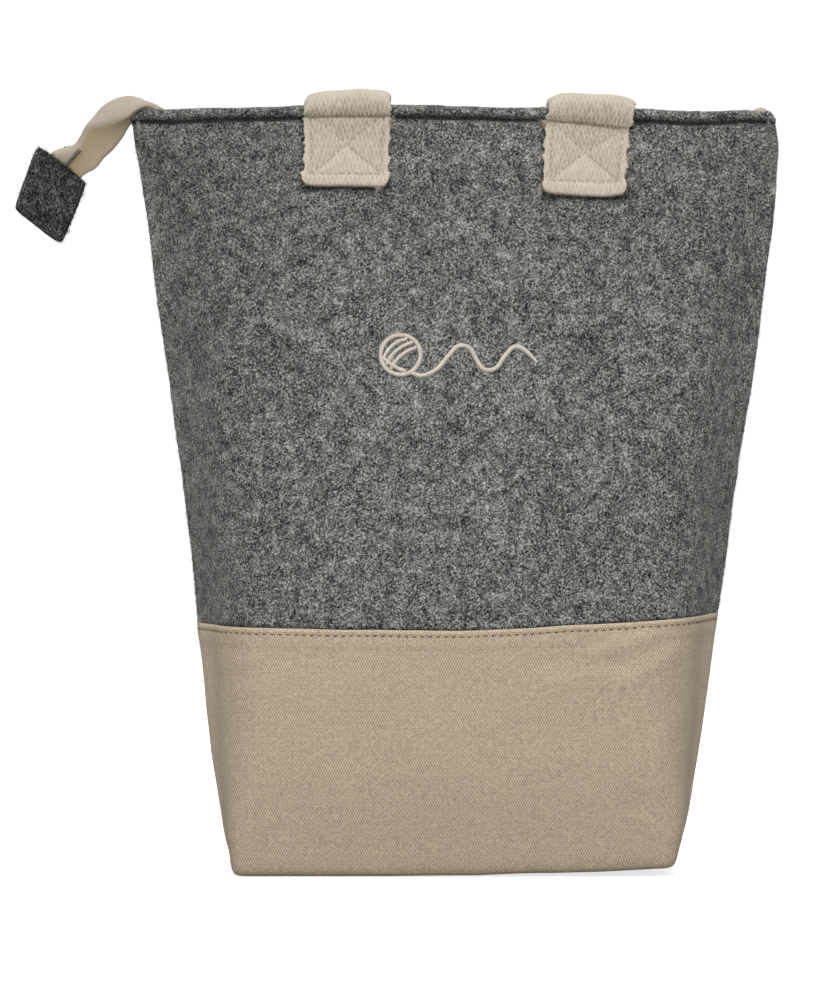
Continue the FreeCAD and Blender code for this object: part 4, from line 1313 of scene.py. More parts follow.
def front_strap(label, rng):
    """Sewn end and the fold above it; returns the length of webbing used."""
    strap = FRONT_STRAPS[label]
    patch, patch_along = patch_surface(-1, strap, FRONT_STEP)
    top = patch_along[-1]
    fold, reach = resample(FRONT_FOLD, FRONT_STEP)
    fold_start, fold = fold[0], fold[1:]
    reach = reach[1:, None]
    left_x, right_x = patch[-1, 0, 0], patch[-1, -1, 0]
    wide = (right_x - left_x) / (2 * HALF_WIDTH)
    # the soft fold wanders, and one edge droops
    drop = strap_drop(strap, ACROSS) * ease((reach - 3) / 9)
    wave = (0.35 * fbm((ACROSS[None, :] + strap.bottom_x) / 19, reach / 40, seed=91)
            * ease((reach - 5) / 9) * ease((36 - reach) / 10))
    x = (lerp(0.5 * (right_x + left_x), strap.fold_x, ease(reach / 13))
         + ACROSS * lerp(wide, strap.fold_width, ease(reach / 8)))
    y = (fold[:, :1] + (patch[-1, :, 1] - fold_start[0]) * np.exp(-reach / 5.0)
         + 0.25 * drop * ease((14 - reach) / 10))
    z = fold[:, 1:] + strap.crease(ACROSS) * (1 - ease(reach / 13)) - drop + wave
    mid = np.concatenate([patch, np.stack([x, y, z], -1)])
    along_mm = np.concatenate([patch_along, top + reach[:, 0]])
    along, across = np.meshgrid(along_mm, ACROSS, indexing="ij")
    extra, groove = patch_profile(across, along, top)
    station = along[:, :1]
    calm = (np.exp(-((station - top) / 1.6) ** 2)
            + 0.9 * np.exp(-((station - 8.4) / 2.4) ** 2))
    # over the fold's crown the weave is flattened and its tone held at a level lowered as
    # painted shade
    flatten_and_shade = 0.62 * ease((along - top - 8.5) / 5.5) * ease((top + 25.5 - along) / 4)
    build = Build()
    strip(build, mid, ACROSS, along_mm, seed=1 if label == "left" else 2, extra=extra,
          groove=groove, shade=strap_shade(across, along, top), flatten_and_shade=flatten_and_shade, ragged=1.5,
          calm=calm)
    obj = add_part(build, "front_strap_" + label, WEBBING, ride=None,
                   replaces=["front_handle_end_" + label])
    if label == "left":
        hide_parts("front_handle_front_bend")
    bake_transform(obj)
    box_stitching(-1, strap, top, strap.width, "front_box_stitching_" + label,
                  replaces=["front_handle_box_stitches"] if label == "left" else (),
                  length=2.6, radius=0.24, lift=0.30, wobble=0.3)
    strap_fray(label, patch, rng)
    return along_mm[-1]


fray_rng = np.random.default_rng(20)
front_used = {label: front_strap(label, fray_rng) for label in FRONT_STRAPS}

# ---- hanging loops -----------------------------------------------------------
LOOP_X = 6.9            # centre between the two legs
TURN_RADIUS = 67.9
LOOP_SLOPE = 0.141      # the loop leans away from the bag as it hangs
LOOP_TIP = 20.0         # degrees the band is tipped at the bottom of the turn
LOOP_STEP = 1.75
LOOP_ACROSS = np.linspace(-HALF_WIDTH, HALF_WIDTH, 110)
BACK_Y = 11.6 + 0.45    # mid surface of the back straps before the lift off the hem
X_WAY = np.array([1.0, 0, 0])


def loop_frame(y_in, z_top, run, push):
    """Centre line and across direction of a hanging loop, left leg round to right leg."""
    lean = math.atan(LOOP_SLOPE)
    down = np.array([0, math.sin(lean), -math.cos(lean)])
    normal = np.array([0, math.cos(lean), math.sin(lean)])
    origin = np.array([LOOP_X, y_in, z_top]) + normal * 1.2
    # stations: sideways, down the loop, then the outward direction in the same plane
    leg = np.arange(0, run, LOOP_STEP)
    stations = [(-TURN_RADIUS, v, -1.0, 0.0) for v in leg]
    for t in np.linspace(0, 1, int(math.pi * TURN_RADIUS / LOOP_STEP)):
        angle = math.pi * (1 - t)
        stations.append((TURN_RADIUS * math.cos(angle), run + TURN_RADIUS * math.sin(angle),
                         math.cos(angle), math.sin(angle)))
    stations += [(TURN_RADIUS, v, 1.0, 0.0) for v in leg[::-1]]
    sideways, drop, out_x, out_down = (column[:, None] for column in np.array(stations).T)
    grow = ease((drop - 0.3 * run) / (0.7 * run + TURN_RADIUS))
    tip = np.radians(LOOP_TIP) * grow
    out = X_WAY * out_x + down * out_down
    centre = (origin + X_WAY * sideways + down * drop
              + normal * (HALF_WIDTH * np.sin(tip) + push * grow))
    return centre, -(out * np.cos(tip) - normal * np.sin(tip))


def match_front_folds(mid, centre, lead_count, lengths):
    """Shifts and narrows both ends of the front loop to meet the folded straps."""
    half = len(mid) // 2
    total = len(mid)
    left_past = lengths[:half] - lengths[lead_count]
    right_past = lengths[total - lead_count - 1] - lengths[half:]
    for part, label, have, past in ((slice(0, half), "left", centre[0, 0], left_past),
                                    (slice(half, total), "right", centre[-1, 0], right_past)):
        strap = FRONT_STRAPS[label]
        near = (1 - ease(past / 90))[:, None]
        x = mid[part, :, 0]
        mid[part, :, 0] = x + near * (strap.fold_x - have
                                      + (x - have) * (strap.fold_width - 1.0))
    for part, label, sign in ((slice(0, lead_count), "left", 1),
                              (slice(-lead_count, None), "right", -1)):
        sag = strap_drop(FRONT_STRAPS[label], sign * LOOP_ACROSS)
        mid[part, :, 2] -= sag * ease((24.5 - mid[part, :, 1]) / 8)


def add_loop(name, replaces, lead, y_in, z_top, run, push, used, seed, meets_folds=False):
    """A loop whose ends follow lead, (y, z) points from the strap to the top of a leg."""
    centre, across_way = loop_frame(y_in, z_top, run, push)
    lead = resample(lead + [tuple(centre[0, 1:]), tuple(centre[5, 1:])], 1.2)[0]
    cut = np.argmin(np.abs(lead[:, 1] - centre[0, 2])
                    + 100 * (lead[:, 0] < centre[0, 1] - 3))
    lead = lead[:cut]
    count = len(lead)
    left = np.column_stack([np.full(count, centre[0, 0]), lead])
    right = np.column_stack([np.full(count, centre[-1, 0]), lead[::-1]])
    line = np.concatenate([left, centre, right])
    across_way = np.concatenate([np.tile(X_WAY, (count, 1)), across_way,
                                 np.tile(-X_WAY, (count, 1))])
    lengths = lengths_along(line)
    mid = line[:, None] + across_way[:, None] * LOOP_ACROSS[None, :, None]
    if meets_folds:
        match_front_folds(mid, centre, count, lengths)
    # soft waviness, and one edge buckles slightly where the band turns
    leg_start, leg_end = lengths[count], lengths[count + len(centre) - 1]
    normal = np.cross(across_way, np.gradient(line, axis=0))
    normal /= np.linalg.norm(normal, axis=1)[:, None]
    station = lengths[:, None]
    turn = (ease((station - leg_start - run * 0.8) / 50)
            * ease((leg_end - run * 0.8 - station) / 50))
    wave = (0.5 * fbm(station / 60, LOOP_ACROSS[None, :] / 50, seed=seed)
            + turn * (0.9 * np.sin(station / 9.0 + seed) * ease((LOOP_ACROSS + 2) / 27)))
    fade = ease(station / 40) * ease((lengths[-1] - station) / 40)
    mid = mid + normal[:, None] * (wave * fade)[..., None]
    build = Build()
    strip(build, mid, LOOP_ACROSS, lengths + used, seed=seed)
    return add_part(build, name, WEBBING, ride=None, replaces=replaces)


front_lead = [(4.0, 441.7), (10.0, 441.9), (16.0, 442.4), (20.6, 442.6), (23.9, 441.2),
              (25.2, 438.2)]
loop = add_loop("front_handle_webbing",
                ["front_handle_bridge", "front_handle_rear_bend", "front_handle_loop"],
                front_lead, y_in=24.0, z_top=437.6, run=170.3, push=16.5,
                used=front_used["left"], seed=3, meets_folds=True)
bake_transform(loop)

# (distance behind BACK_Y, z)
back_lead = [(BACK_Y + dy, z) for dy, z in (
    (1.2, 428.4), (1.15, 430.6), (1.5, 433.2), (3.1, 435.3), (5.4, 436.2), (7.6, 435.3),
    (9.2, 433.2))]
loop = add_loop("back_handle_webbing", ["back_handle_fold", "back_handle_loop"], back_lead,
                y_in=20.45, z_top=431.2, run=206.2, push=0.0, used=40.0, seed=4)
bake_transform(loop)


def back_strap(label, x):
    strap = SimpleNamespace(bottom_x=x, top_x=x, foot_z=387.0, width=BACK_WIDTH, shift=level,
                            foot_curve=level, crease=level)
    patch, patch_along = patch_surface(1, strap, BACK_STEP)
    top = patch_along[-1]
    # two more rows run straight up to the loop
    ends = np.zeros((2, len(ACROSS), 3))
    ends[..., 0] = patch[-1, :, 0]
    ends[..., 1] = BACK_Y + 1.2
    ends[..., 2] = [[427.4], [428.4]]
    mid = np.concatenate([patch, ends])[:, ::-1]
    along_mm = np.concatenate([patch_along, top + np.array([1.2, 2.2])])
    along, across = np.meshgrid(along_mm, ACROSS, indexing="ij")
    extra, groove = patch_profile(across, along, top)
    build = Build()
    strip(build, mid, ACROSS, along_mm, seed=6, extra=extra, groove=groove)
    add_part(build, "back_strap_" + label, WEBBING,
             replaces=["back_handle_end_" + label])
    box_stitching(1, strap, top, np.ones_like, "back_box_stitching_" + label,
                  replaces=["back_handle_box_stitches"] if label == "left" else (),
                  length=2.9, radius=0.26, lift=0.18, wobble=0.2)


back_strap("left", LOOP_X - TURN_RADIUS)
back_strap("right", LOOP_X + TURN_RADIUS)

# =============================================================================
# Zip along the mouth
# =============================================================================
TAPE_Z, TAPE_THICK = 429.2, 0.55
COIL_Z, COIL_Y, COIL_PITCH = 427.9, 1.15, 1.5
STOP_X, STOP_Z = 144.4, 428.2


def zip_tape(sign, label):
    """A woven tape lying flat, with a slight sag."""
    x, t = np.meshgrid(np.arange(-146.5, 146.6, 1.2), np.linspace(0, 1, 8), indexing="ij")
    y = sign * 1.2 + (sign * 6.4 - sign * 1.2) * t
    z = TAPE_Z + RIM_RISE(x) + 0.35 * fbm(x / 24, y / 9, seed=101) - 0.5 * np.sin(np.pi * t)
    top = np.stack([x, y, z + TAPE_THICK / 2], -1)
    bottom = np.stack([x, y, z - TAPE_THICK / 2], -1)
    cloth = np.stack([np.abs(y), x, 0 * x], -1)
    build = Build()
    build.grid(np.concatenate([top, bottom[:, ::-1]], 1),
               np.concatenate([cloth, cloth[:, ::-1]], 1), wrap_u=True)
    build.cap_ends(*x.shape)
    add_part(build, "zip_tape_" + label, TAPE, replaces=[label + "_zip_tape"])


def zip_coil(sign, label):
    """Nylon coil: a flattened helix round a cord, meshing with its twin."""
    angle = np.arange(0, 2 * math.pi * (290 / COIL_PITCH), 2 * math.pi / 10)
    x = -145 + COIL_PITCH * angle / (2 * math.pi)
    angle = angle + (0 if sign < 0 else math.pi)
    build = Build()
    build.tube(np.stack([x, sign * COIL_Y + 1.30 * np.cos(angle),
                         COIL_Z + RIM_RISE(x) + 0.8 * np.sin(angle)], -1), 0.30, sides=5)
    x = np.arange(-145, 145.1, 2.0)
    build.tube(np.stack([x, 0 * x + sign * COIL_Y, COIL_Z + RIM_RISE(x)], -1), 0.34)
    add_part(build, "zip_coil_" + label, COIL, replaces=[label + "_zip_coil"])


for side, label in SIDES:
    zip_tape(side, label)
    zip_coil(side, label)


def top_stops():
    """Two pressed metal clips, each an open ring swept along x."""
    angles = np.linspace(0.15 * math.pi, 1.85 * math.pi, 14)
    z = STOP_Z + float(RIM_RISE(STOP_X))
    build = Build()
    for sign in (-1, 1):
        outer, inner = ([(sign * 1.5 + ry * math.cos(a), z + rz * math.sin(a)) for a in angles]
                        for ry, rz in ((1.15, 1.25), (0.72, 0.85)))
        profile = np.array(outer + inner[::-1])
        centre = profile.mean(0)
        # (x from the middle, size of the section)
        sections = ((-1.2, 0.93), (-1.05, 1.0), (0.0, 1.02), (1.05, 1.0), (1.2, 0.93))
        rings = np.stack([
            np.column_stack([np.full(len(profile), STOP_X + dx),
                             (profile - centre) * size + centre]) for dx, size in sections])
        build.grid(rings, wrap_u=True)
        build.cap_ends(len(sections), len(angles))
    add_part(build, "zip_top_stops_metal", METAL, replaces=["zip_top_stops"])


top_stops()


# ---- slider and pull ---------------------------------------------------------
def stadium(cx, cy, half_length, half_width, taper=0.0):
    """Closed round-ended outline; taper narrows its left end."""
    points = []
    for sign, width in ((1, half_width), (-1, half_width * (1 - taper))):
        for i in range(11):
            angle = -sign * math.pi / 2 + math.pi * i / 10
            end = cx + sign * (half_length - width * 0.55)
            points.append((end + width * 0.55 * math.cos(angle), cy + width * math.sin(angle)))
    return points


def inset(outline, distance):
    """The outline moved toward its centre."""
    centre = outline.mean(0)
    spokes = outline - centre
    return outline - spokes / np.linalg.norm(spokes, axis=1)[:, None] * distance


def rounded_plate(build, outline, z0, z1, bevel, crown=0.0):
    """Plate with bevelled rims; crown raises its middle line."""
    outline = np.asarray(outline, float)
    centre = outline.mean(0)
    inner = inset(outline, bevel)
    half, hub = (centre + (inner - centre) * size for size in (0.5, 0.02))
    rings = []
    for ring, z in ((hub, z0), (half, z0), (inner, z0), (outline, z0 + bevel),
                    (outline, z1 - bevel), (inner, z1), (half, z1), (hub, z1)):
        rings.append(np.column_stack([ring, z + crown * (1 - (ring[:, 1] / 4.6) ** 2)]))
    first = build.count
    build.grid(np.stack(rings), wrap_u=True)
    count = len(outline)
    build.faces.append(np.arange(count)[None, ::-1] + first)
    build.faces.append(np.arange(count)[None] + first + (len(rings) - 1) * count)


def ringed_plate(build, outline, hole, z0, z1, bevel):
    """Plate with one hole; both outlines have as many points and run the same way."""
    outline, hole = np.asarray(outline, float), np.asarray(hole, float)
    inner, rim = inset(outline, bevel), inset(hole, -bevel)
    rings = [np.column_stack([ring, np.full(len(ring), z)]) for ring, z in (
        (outline, z0 + bevel), (outline, z1 - bevel), (inner, z1), (rim, z1),
        (hole, z1 - bevel), (hole, z0 + bevel), (rim, z0), (inner, z0))]
    build.grid(np.stack(rings), wrap_u=True, wrap_v=True)


SLIDER_X = 138.0
# (x from the slider's centre, z) over the bridge on the top plate
BRIDGE = [(-3.3, 430.6), (-3.0, 431.8), (-1.6, 432.5), (0.6, 432.55), (2.3, 432.0),
          (2.9, 430.6)]

build = Build()
rounded_plate(build, stadium(SLIDER_X, 0, 4.4, 4.4, taper=0.30), z0=429.80, z1=430.75,
              bevel=0.28, crown=0.12)
bridge = resample([(SLIDER_X + dx, z) for dx, z in BRIDGE], 0.3)[0]
build.tube(np.stack([bridge[:, 0], 0 * bridge[:, 0], bridge[:, 1]], -1), 1.05, sides=10,
           flat=0.42, up=(0, 0, 1.0))
add_part(build, "zip_slider_body", METAL, ride="slider",
         replaces=["zip_slider_top"])

build = Build()
rounded_plate(build, stadium(SLIDER_X, 0, 4.2, 3.3, taper=0.25), z0=425.62, z1=426.5,
              bevel=0.22)
add_part(build, "zip_slider_lower", METAL, ride="slider",
         replaces=["zip_slider_bottom"])

# pull: a slotted leaf, and the eye that joins it to the slider
build = Build()
ringed_plate(build, stadium(SLIDER_X - 15.5, 0, 8.6, 2.55, taper=-0.10),
             stadium(SLIDER_X - 18.6, 0, 3.6, 1.15), z0=431.95, z1=432.75, bevel=0.18)
ringed_plate(build, stadium(SLIDER_X - 2.6, 0, 4.6, 2.2),
             stadium(SLIDER_X - 1.9, 0, 3.1, 1.25), z0=431.85, z1=432.75, bevel=0.18)
add_part(build, "zip_pull_leaf", METAL, ride="pull", replaces=["zip_pull"])

# ---- tape past the slider, between the panels at the right corner -------------
# centre x, y, z and half-width vector x, y, z
TONGUE = [(146.0, 0.0, 427.0, 0, 5.2, 0), (151.0, 0.0, 428.2, 0, 4.2, 0.1),
          (157.0, -0.1, 429.9, 0, 3.4, 0.4), (164.5, -0.2, 430.5, 0.1, 3.1, 0.8),
          (169.5, -0.3, 431.5, 0.1, 3.0, 1.2), (174.0, -0.5, 433.3, 0.1, 2.8, 1.4),
          (177.0, -0.5, 432.9, 0.1, 2.4, 1.2), (179.0, -0.5, 431.4, 0.1, 2.0, 1.0)]


def tape_tongue():
    """Tape with a lens-shaped section along the TONGUE stations."""
    thick = 0.95
    stations = resample(TONGUE, 0.8)[0]
    centre, half = stations[:, :3], stations[:, 3:]
    t = np.linspace(-1, 1, 9)
    normal = unit(np.cross(np.gradient(centre, axis=0), half))[:, None]
    points = centre[:, None] + half[:, None] * t[None, :, None]
    lens = np.sqrt(np.clip(1 - t ** 4, 0, 1))
    upper = points + normal * (thick / 2 * lens + 0.18 * np.cos(t * 7))[None, :, None]
    lower = points - normal * (thick / 2 * lens)[None, :, None]
    across = t[None, :] * np.linalg.norm(half, axis=1)[:, None]
    along = lengths_along(centre)[:, None] + 0 * across
    cloth = np.stack([across, along, 0 * across], -1)
    build = Build()
    build.grid(np.concatenate([upper, lower[:, ::-1]], 1),
               np.concatenate([cloth, cloth[:, ::-1]], 1), wrap_u=True)
    build.cap_ends(len(stations), len(t))
    add_part(build, "zip_tape_tongue", TAPE, replaces=["zip_tape_end"])


tape_tongue()

# =============================================================================
# Zip tail: tape folded along its length, leaving the left corner, with a felt tab
# =============================================================================
# x, y, z of the upper edge, the crease and the lower edge at each station along the tape
TAIL = [
    (-147.81275, 4.3, 426.07525, -147.81275, 0.0, 426.07525, -147.81275, -4.3, 426.07525),
    (-159.22275, 4.6, 427.78675, -159.22275, 0.0, 428.072, -159.22275, -4.6, 427.78675),
    (-167.20975, 3.2, 433.4347, -168.0655, -1.4, 432.35075, -168.92125, -3.0, 430.9245),
    (-174.05575, 2.0, 437.4282, -175.482, -3.6, 434.918, -177.47875, -2.0, 431.78025),
    (-180.33125, 1.4, 440.0525, -181.47225, -6.4, 432.636, -182.49915, -1.2, 428.35725),
    (-187.4625, 1.2, 441.02235, -186.72085, -7.2, 428.47135, -186.60675, 0.6, 424.0785),
    (-195.16425, 1.0, 439.3679, -193.1675, -7.0, 426.3605, -190.37205, 1.8, 417.1184),
    (-200.75515, 0.9, 435.7167, -198.8725, -6.4, 424.9913, -195.27835, 2.2, 411.4134),
    (-205.43325, 1.6, 430.6963, -204.74865, -5.8, 423.9644, -198.70135, 2.0, 407.9904),
    (-209.54085, 3.2, 424.4208, -209.76905, -4.6, 422.8234, -201.55385, 1.6, 404.9097),
    (-213.64845, 3.4, 418.0312, -212.27925, -3.0, 416.8902, -203.94995, 1.3, 401.6008),
    (-218.21245, 1.0, 412.8967, -213.76255, -2.6, 411.5275, -206.46015, 1.2, 399.3188),
    (-226.2565, -2.6, 410.6147, -217.699, -3.4, 406.393, -210.45365, 0.9, 397.1509),
    (-230.76345, -5.0, 407.8763, -221.6925, -3.4, 401.4867, -213.64845, 0.4, 394.5266),
    (-231.90445, -6.0, 403.9969, -222.9476, -4.1, 397.7214, -214.67535, -0.5, 390.6472),
]
TAIL_THICK = 0.62
HALF_POINTS = 10        # points from an edge to the crease
CLIP_AT = (-221.122, -1.2, 411.9839)


def tail_surface():
    """Mid surface of the tail (stations, across, 3), its normals and lengths."""
    stations, lengths = resample(TAIL, 0.75)
    upper, fold, lower = stations.reshape(-1, 3, 3).transpose(1, 0, 2)[:, :, None]
    t = np.linspace(0, 1, HALF_POINTS)
    blend = t[None, :, None]
    mid = np.concatenate([upper * (1 - blend) + fold * blend,
                          (fold * (1 - blend) + lower * blend)[:, 1:]], 1)
    # soften the crease, bow the two halves, let the edges ripple
    mid[:, 3:-3] = relax(mid, 2)[:, 3:-3]
    normal = unit(np.cross(np.gradient(mid, axis=0), np.gradient(mid, axis=1)))
    bow = np.concatenate([np.sin(np.pi * t) * 1.3, -np.sin(np.pi * t[1:]) * 1.1])
    station = lengths[:, None]
    ripple = (0.22 * np.sin(station / 5.2) * np.concatenate([(1 - t) ** 2, t[1:] ** 2])
              + 0.18 * fbm(station / 9, np.linspace(0, 2, mid.shape[1])[None], seed=111))
    grow = ease((station - 22) / 20)
    bow = bow * grow * ease((lengths[-1] - station) / 14)
    mid = mid + normal * (bow + ripple)[..., None]
    across = np.concatenate([-(1 - t) * 11.0, t[1:] * 15.0])
    # painted shade: the folded tape's lower half, most near the crease, and its end by the tab
    # are darker and warmer
    shade = np.concatenate([0 * t, 0.30 + 0.35 * (1 - t[1:])]) * grow
    shade = np.clip(shade + 0.35 * ease((station - (lengths[-1] - 16)) / 14), 0, 1)
    cloth = np.stack([across + 0 * shade, station + 0 * shade, shade], -1)
    return mid, normal, lengths, cloth


tail_mid, tail_normal, tail_lengths, tail_cloth = tail_surface()
build = Build()
build.grid(np.concatenate([tail_mid - tail_normal * (TAIL_THICK / 2),
                           (tail_mid + tail_normal * (TAIL_THICK / 2))[:, ::-1]], 1),
           np.concatenate([tail_cloth, tail_cloth[:, ::-1]], 1), wrap_u=True)
build.cap_ends(*tail_mid.shape[:2])
tail = add_part(build, "zip_tail_ribbon", TAPE, ride=None,
                replaces=["zip_tail_root", "zip_tail_tape"])
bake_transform(tail)


def tail_coil():
    """Two meshing coils on the crease near the tab, in the coil plastic painted much darker as
    shade.
    """
    first = int(np.argmin(np.abs(tail_lengths - (tail_lengths[-1] - 27))))
    normals = tail_normal[first:, HALF_POINTS - 1]
    fold = tail_mid[first:, HALF_POINTS - 1] + normals * 0.62
    lengths = lengths_along(fold)
    query = np.arange(0.3, lengths[-1], 0.13)
    path = at_lengths(query, lengths, fold)
    normal = at_lengths(query, lengths, normals)
    sideways = np.cross(unit(np.gradient(path, axis=0)), normal)
    angle = (2 * math.pi * query / COIL_PITCH)[:, None]
    build = Build()
    for sign, phase in ((-1, 0), (1, math.pi)):
        build.tube(path + sideways * (sign * 0.6 + 0.55 * np.cos(angle + phase))
                   + normal * (0.45 * np.sin(angle)), 0.24, sides=5)
    add_part(build, "zip_tail_coil", SHADED_COIL, ride="tail")


def tail_clip():
    """Bottom stop: a small pressed clip of two bands on the tape's upper edge."""
    j = int(np.argmin(np.linalg.norm(tail_mid[:, 0] - np.array(CLIP_AT), axis=1)))
    root = tail_mid[j, 0]
    along = tail_mid[j + 3, 0] - tail_mid[j - 3, 0]
    along /= np.linalg.norm(along)
    across = tail_mid[j, 2] - root
    across /= np.linalg.norm(across)
    normal = np.cross(along, across)
    angle = np.linspace(0, 2 * math.pi, 17)[:-1, None]
    build = Build()
    for start in (-1.7, 0.5):
        # (distance along the band, size of the ring)
        rings = np.stack([
            root + along * (start + shift)
            + (across * ((0.35 + 1.35 * np.cos(angle)) * size)
               + normal * (0.95 * np.sin(angle) * size))
            for shift, size in ((0.0, 0.8), (0.2, 1.0), (1.2, 1.03), (1.4, 0.82))])
        first = build.count
        build.grid(rings, wrap_u=True)
        build.faces.append(np.arange(16)[None] + first)
        build.faces.append(np.arange(16)[None, ::-1] + first + 48)
    add_part(build, "zip_tail_stop_clip", METAL, ride="tail",
             replaces=["zip_bottom_stop"])


tail_coil()
tail_clip()

# ---- felt tab ----------------------------------------------------------------
TAB_TOP_LEFT, TAB_TOP_RIGHT = np.array([-238.4, -7.0, 412.2]), np.array([-210.9, 1.0, 391.4])
TAB_LOW_RIGHT, TAB_LOW_LEFT = np.array([-224.4, -7.0, 355.6]), np.array([-250.4, -15.0, 375.6])
TAB_NORMAL = np.cross(TAB_TOP_RIGHT - TAB_TOP_LEFT, TAB_LOW_LEFT - TAB_TOP_LEFT)
TAB_NORMAL /= np.linalg.norm(TAB_NORMAL)
if TAB_NORMAL[1] > 0:
    TAB_NORMAL = -TAB_NORMAL


def tab_point(right, down):
    """Point of the tab's mid plane at fractions to the right and down."""
    right, down = right[..., None], down[..., None]
    return (TAB_TOP_LEFT * (1 - right) * (1 - down) + TAB_TOP_RIGHT * right * (1 - down)
            + TAB_LOW_LEFT * (1 - right) * down + TAB_LOW_RIGHT * right * down)


def tab_leaf(build, low, high, seed, shrink=0.0):
    """One leaf between two heights off the mid plane; returns its upper surface."""
    down, right = np.meshgrid(np.linspace(-1, 1, 66), np.linspace(-1, 1, 52), indexing="ij")
    abs_right, abs_down = np.abs(right), np.abs(down)
    # corners are rounded and edges slightly ragged
    corner = 0.055
    cut_right = right * (1 - corner * abs_down ** 6 * abs_right ** 3)
    cut_down = down * (1 - corner * abs_right ** 6 * abs_down ** 3)
    angle = np.arctan2(cut_down, cut_right)
    ragged = (0.020 * fbm(np.cos(angle) * 5, np.sin(angle) * 5, seed=seed, octaves=3)
              * np.maximum(abs_right, abs_down) ** 5)
    cut_right, cut_down = (cut * (1 + ragged - shrink) for cut in (cut_right, cut_down))
    points = tab_point(0.5 + 0.5 * cut_right, 0.5 + 0.5 * cut_down)
    from_end = (1 - abs_down) * 19
    from_edge = np.minimum((1 - abs_right) * 17, from_end)
    rounding = np.sqrt(np.clip(1 - (1 - np.clip(from_edge / 1.3, 0, 1)) ** 2, 0, 1))
    middle, half = 0.5 * (low + high), 0.5 * (high - low)
    relief = (0.20 * fbm(cut_right * 6, cut_down * 5, seed=seed + 2, octaves=3)
              + 0.13 * fbm(cut_right * 16, cut_down * 8, seed=seed + 4))
    press = 0.45 * np.exp(-((from_end - 3.2) / 1.1) ** 2) * (down < 0)
    bow = 0.5 * (1 - right ** 2) * (1 - down ** 2)
    thick = half * (0.25 + 0.75 * rounding)
    upper = middle + (thick + (relief - press) * rounding) + bow * 0.6
    under = middle - thick + bow * 0.3
    # painted shade: the right edge and the upper end darker, and a dark line along the pressed
    # stitch row; lit_edge is a painted highlight along the left edge
    dark = (0.75 * ease((right - 0.86) / 0.10) + 0.45 * ease((-0.88 - down) / 0.10)
            + 0.30 * np.exp(-((from_end - 3.2) / 0.9) ** 2) * (down < 0))
    lit_edge = -0.25 * np.exp(-((right + 0.80) / 0.07) ** 2) * ease((0.8 - abs_down) / 0.2)
    cloth = np.stack([cut_right * 17, cut_down * 19, np.clip(dark, 0, 1) + lit_edge], -1)
    top = points + TAB_NORMAL * upper[..., None]
    build.grid(top, cloth)
    build.grid(points + TAB_NORMAL * under[..., None], cloth, flip=True)
    build.join_rims(*right.shape)
    return top


build = Build()
tab_top = tab_leaf(build, 0.75, 3.3, seed=131)
tab_leaf(build, -3.3, -0.75, seed=137, shrink=0.012)
add_part(build, "zip_tail_tab", DARK_FELT, ride="tail",
         replaces=["zip_tail_felt_tab"])

build = Build()
right = np.linspace(0.08, 0.92, 40)
for sign in (1, -1):
    line = tab_point(right, 0 * right + 0.086) + TAB_NORMAL * (sign * 3.02)
    stitch_run(build, line, np.tile(TAB_NORMAL * sign, (len(line), 1)), pitch=3.2, length=2.3,
               radius=0.28, sink=0.4, lift=0.14, wobble=0.1, seed=3)
add_part(build, "zip_tail_tab_stitching", DARK_THREAD, ride="tail",
         replaces=["zip_tail_tab_stitches"])

# =============================================================================
# Embroidery: a ball of yarn with its loose end, in satin stitch on the front
# =============================================================================
BALL_X, BALL_Z, BALL_RADIUS = -31.0, 291.0 + 0.6, 11.2
# (x, z) of the loose end from the ball's centre, low on the right and across
YARN_END = [(5.5, 1.4 - BALL_RADIUS), (12.0, -0.6 - BALL_RADIUS), (20.5, -8.0), (26.5, -1.0),
            (32.5, 5.0), (39.0, 3.6), (42.5, -2.8), (47.0, -8.2), (53.5, -7.6), (58.5, -0.8),
            (64.0, 4.6), (70.0, 2.4), (76.5, -4.2)]


def satin(build, path, width, seed, lift=0.85):
    """Threads laid side by side across a path; width is a function of the share covered."""
    pitch, slant = 0.36, 0.22
    path, lengths = resample(path, pitch)
    tangent = unit(np.gradient(path, axis=0))
    across = unit(np.stack([-tangent[:, 1], tangent[:, 0]], 1) + tangent * slant)
    jitter = value_noise(lengths * 1.9, seed, seed=seed) * 0.09
    half = (width(lengths / lengths[-1]) / 2 + jitter)[:, None]
    t = np.linspace(-1, 1, 7)
    x = path[:, None, 0] + across[:, None, 0] * t * half
    z = path[:, None, 1] + across[:, None, 1] * t * half
    height = 0.35 - 0.75 * np.abs(t) ** 5 + lift * np.sqrt(np.clip(1 - t ** 2, 0, 1))
    height = height + 0.06 * value_noise(lengths * 2.3, 5, seed=seed + 1)[:, None]
    for thread in on_face(-1, frac_at_x(-1, x, z), z, height):
        build.tube(thread, 0.215, sides=5, flat=0.9, up=(0.0, 1.0, 0.0))


def ball_turn(build, angle, offset, bow, seed):
    """One turn of yarn seen on the ball: an arc across the disc."""
    cos, sin = math.cos(angle), math.sin(angle)
    half = math.sqrt(max((BALL_RADIUS - 1.5) ** 2 - offset ** 2, 0.1))
    t = np.linspace(-1, 1, 15)
    along, across = t * half, offset + bow * (1 - t ** 2)
    path = np.stack([BALL_X + along * cos - across * sin,
                     BALL_Z + along * sin + across * cos], 1)
    satin(build, path, lambda share: 2.05 + 0 * share, seed=seed, lift=0.8)


def yarn_end_width(share):
    return 2.6 - 1.2 * ease((share - 0.92) / 0.08)


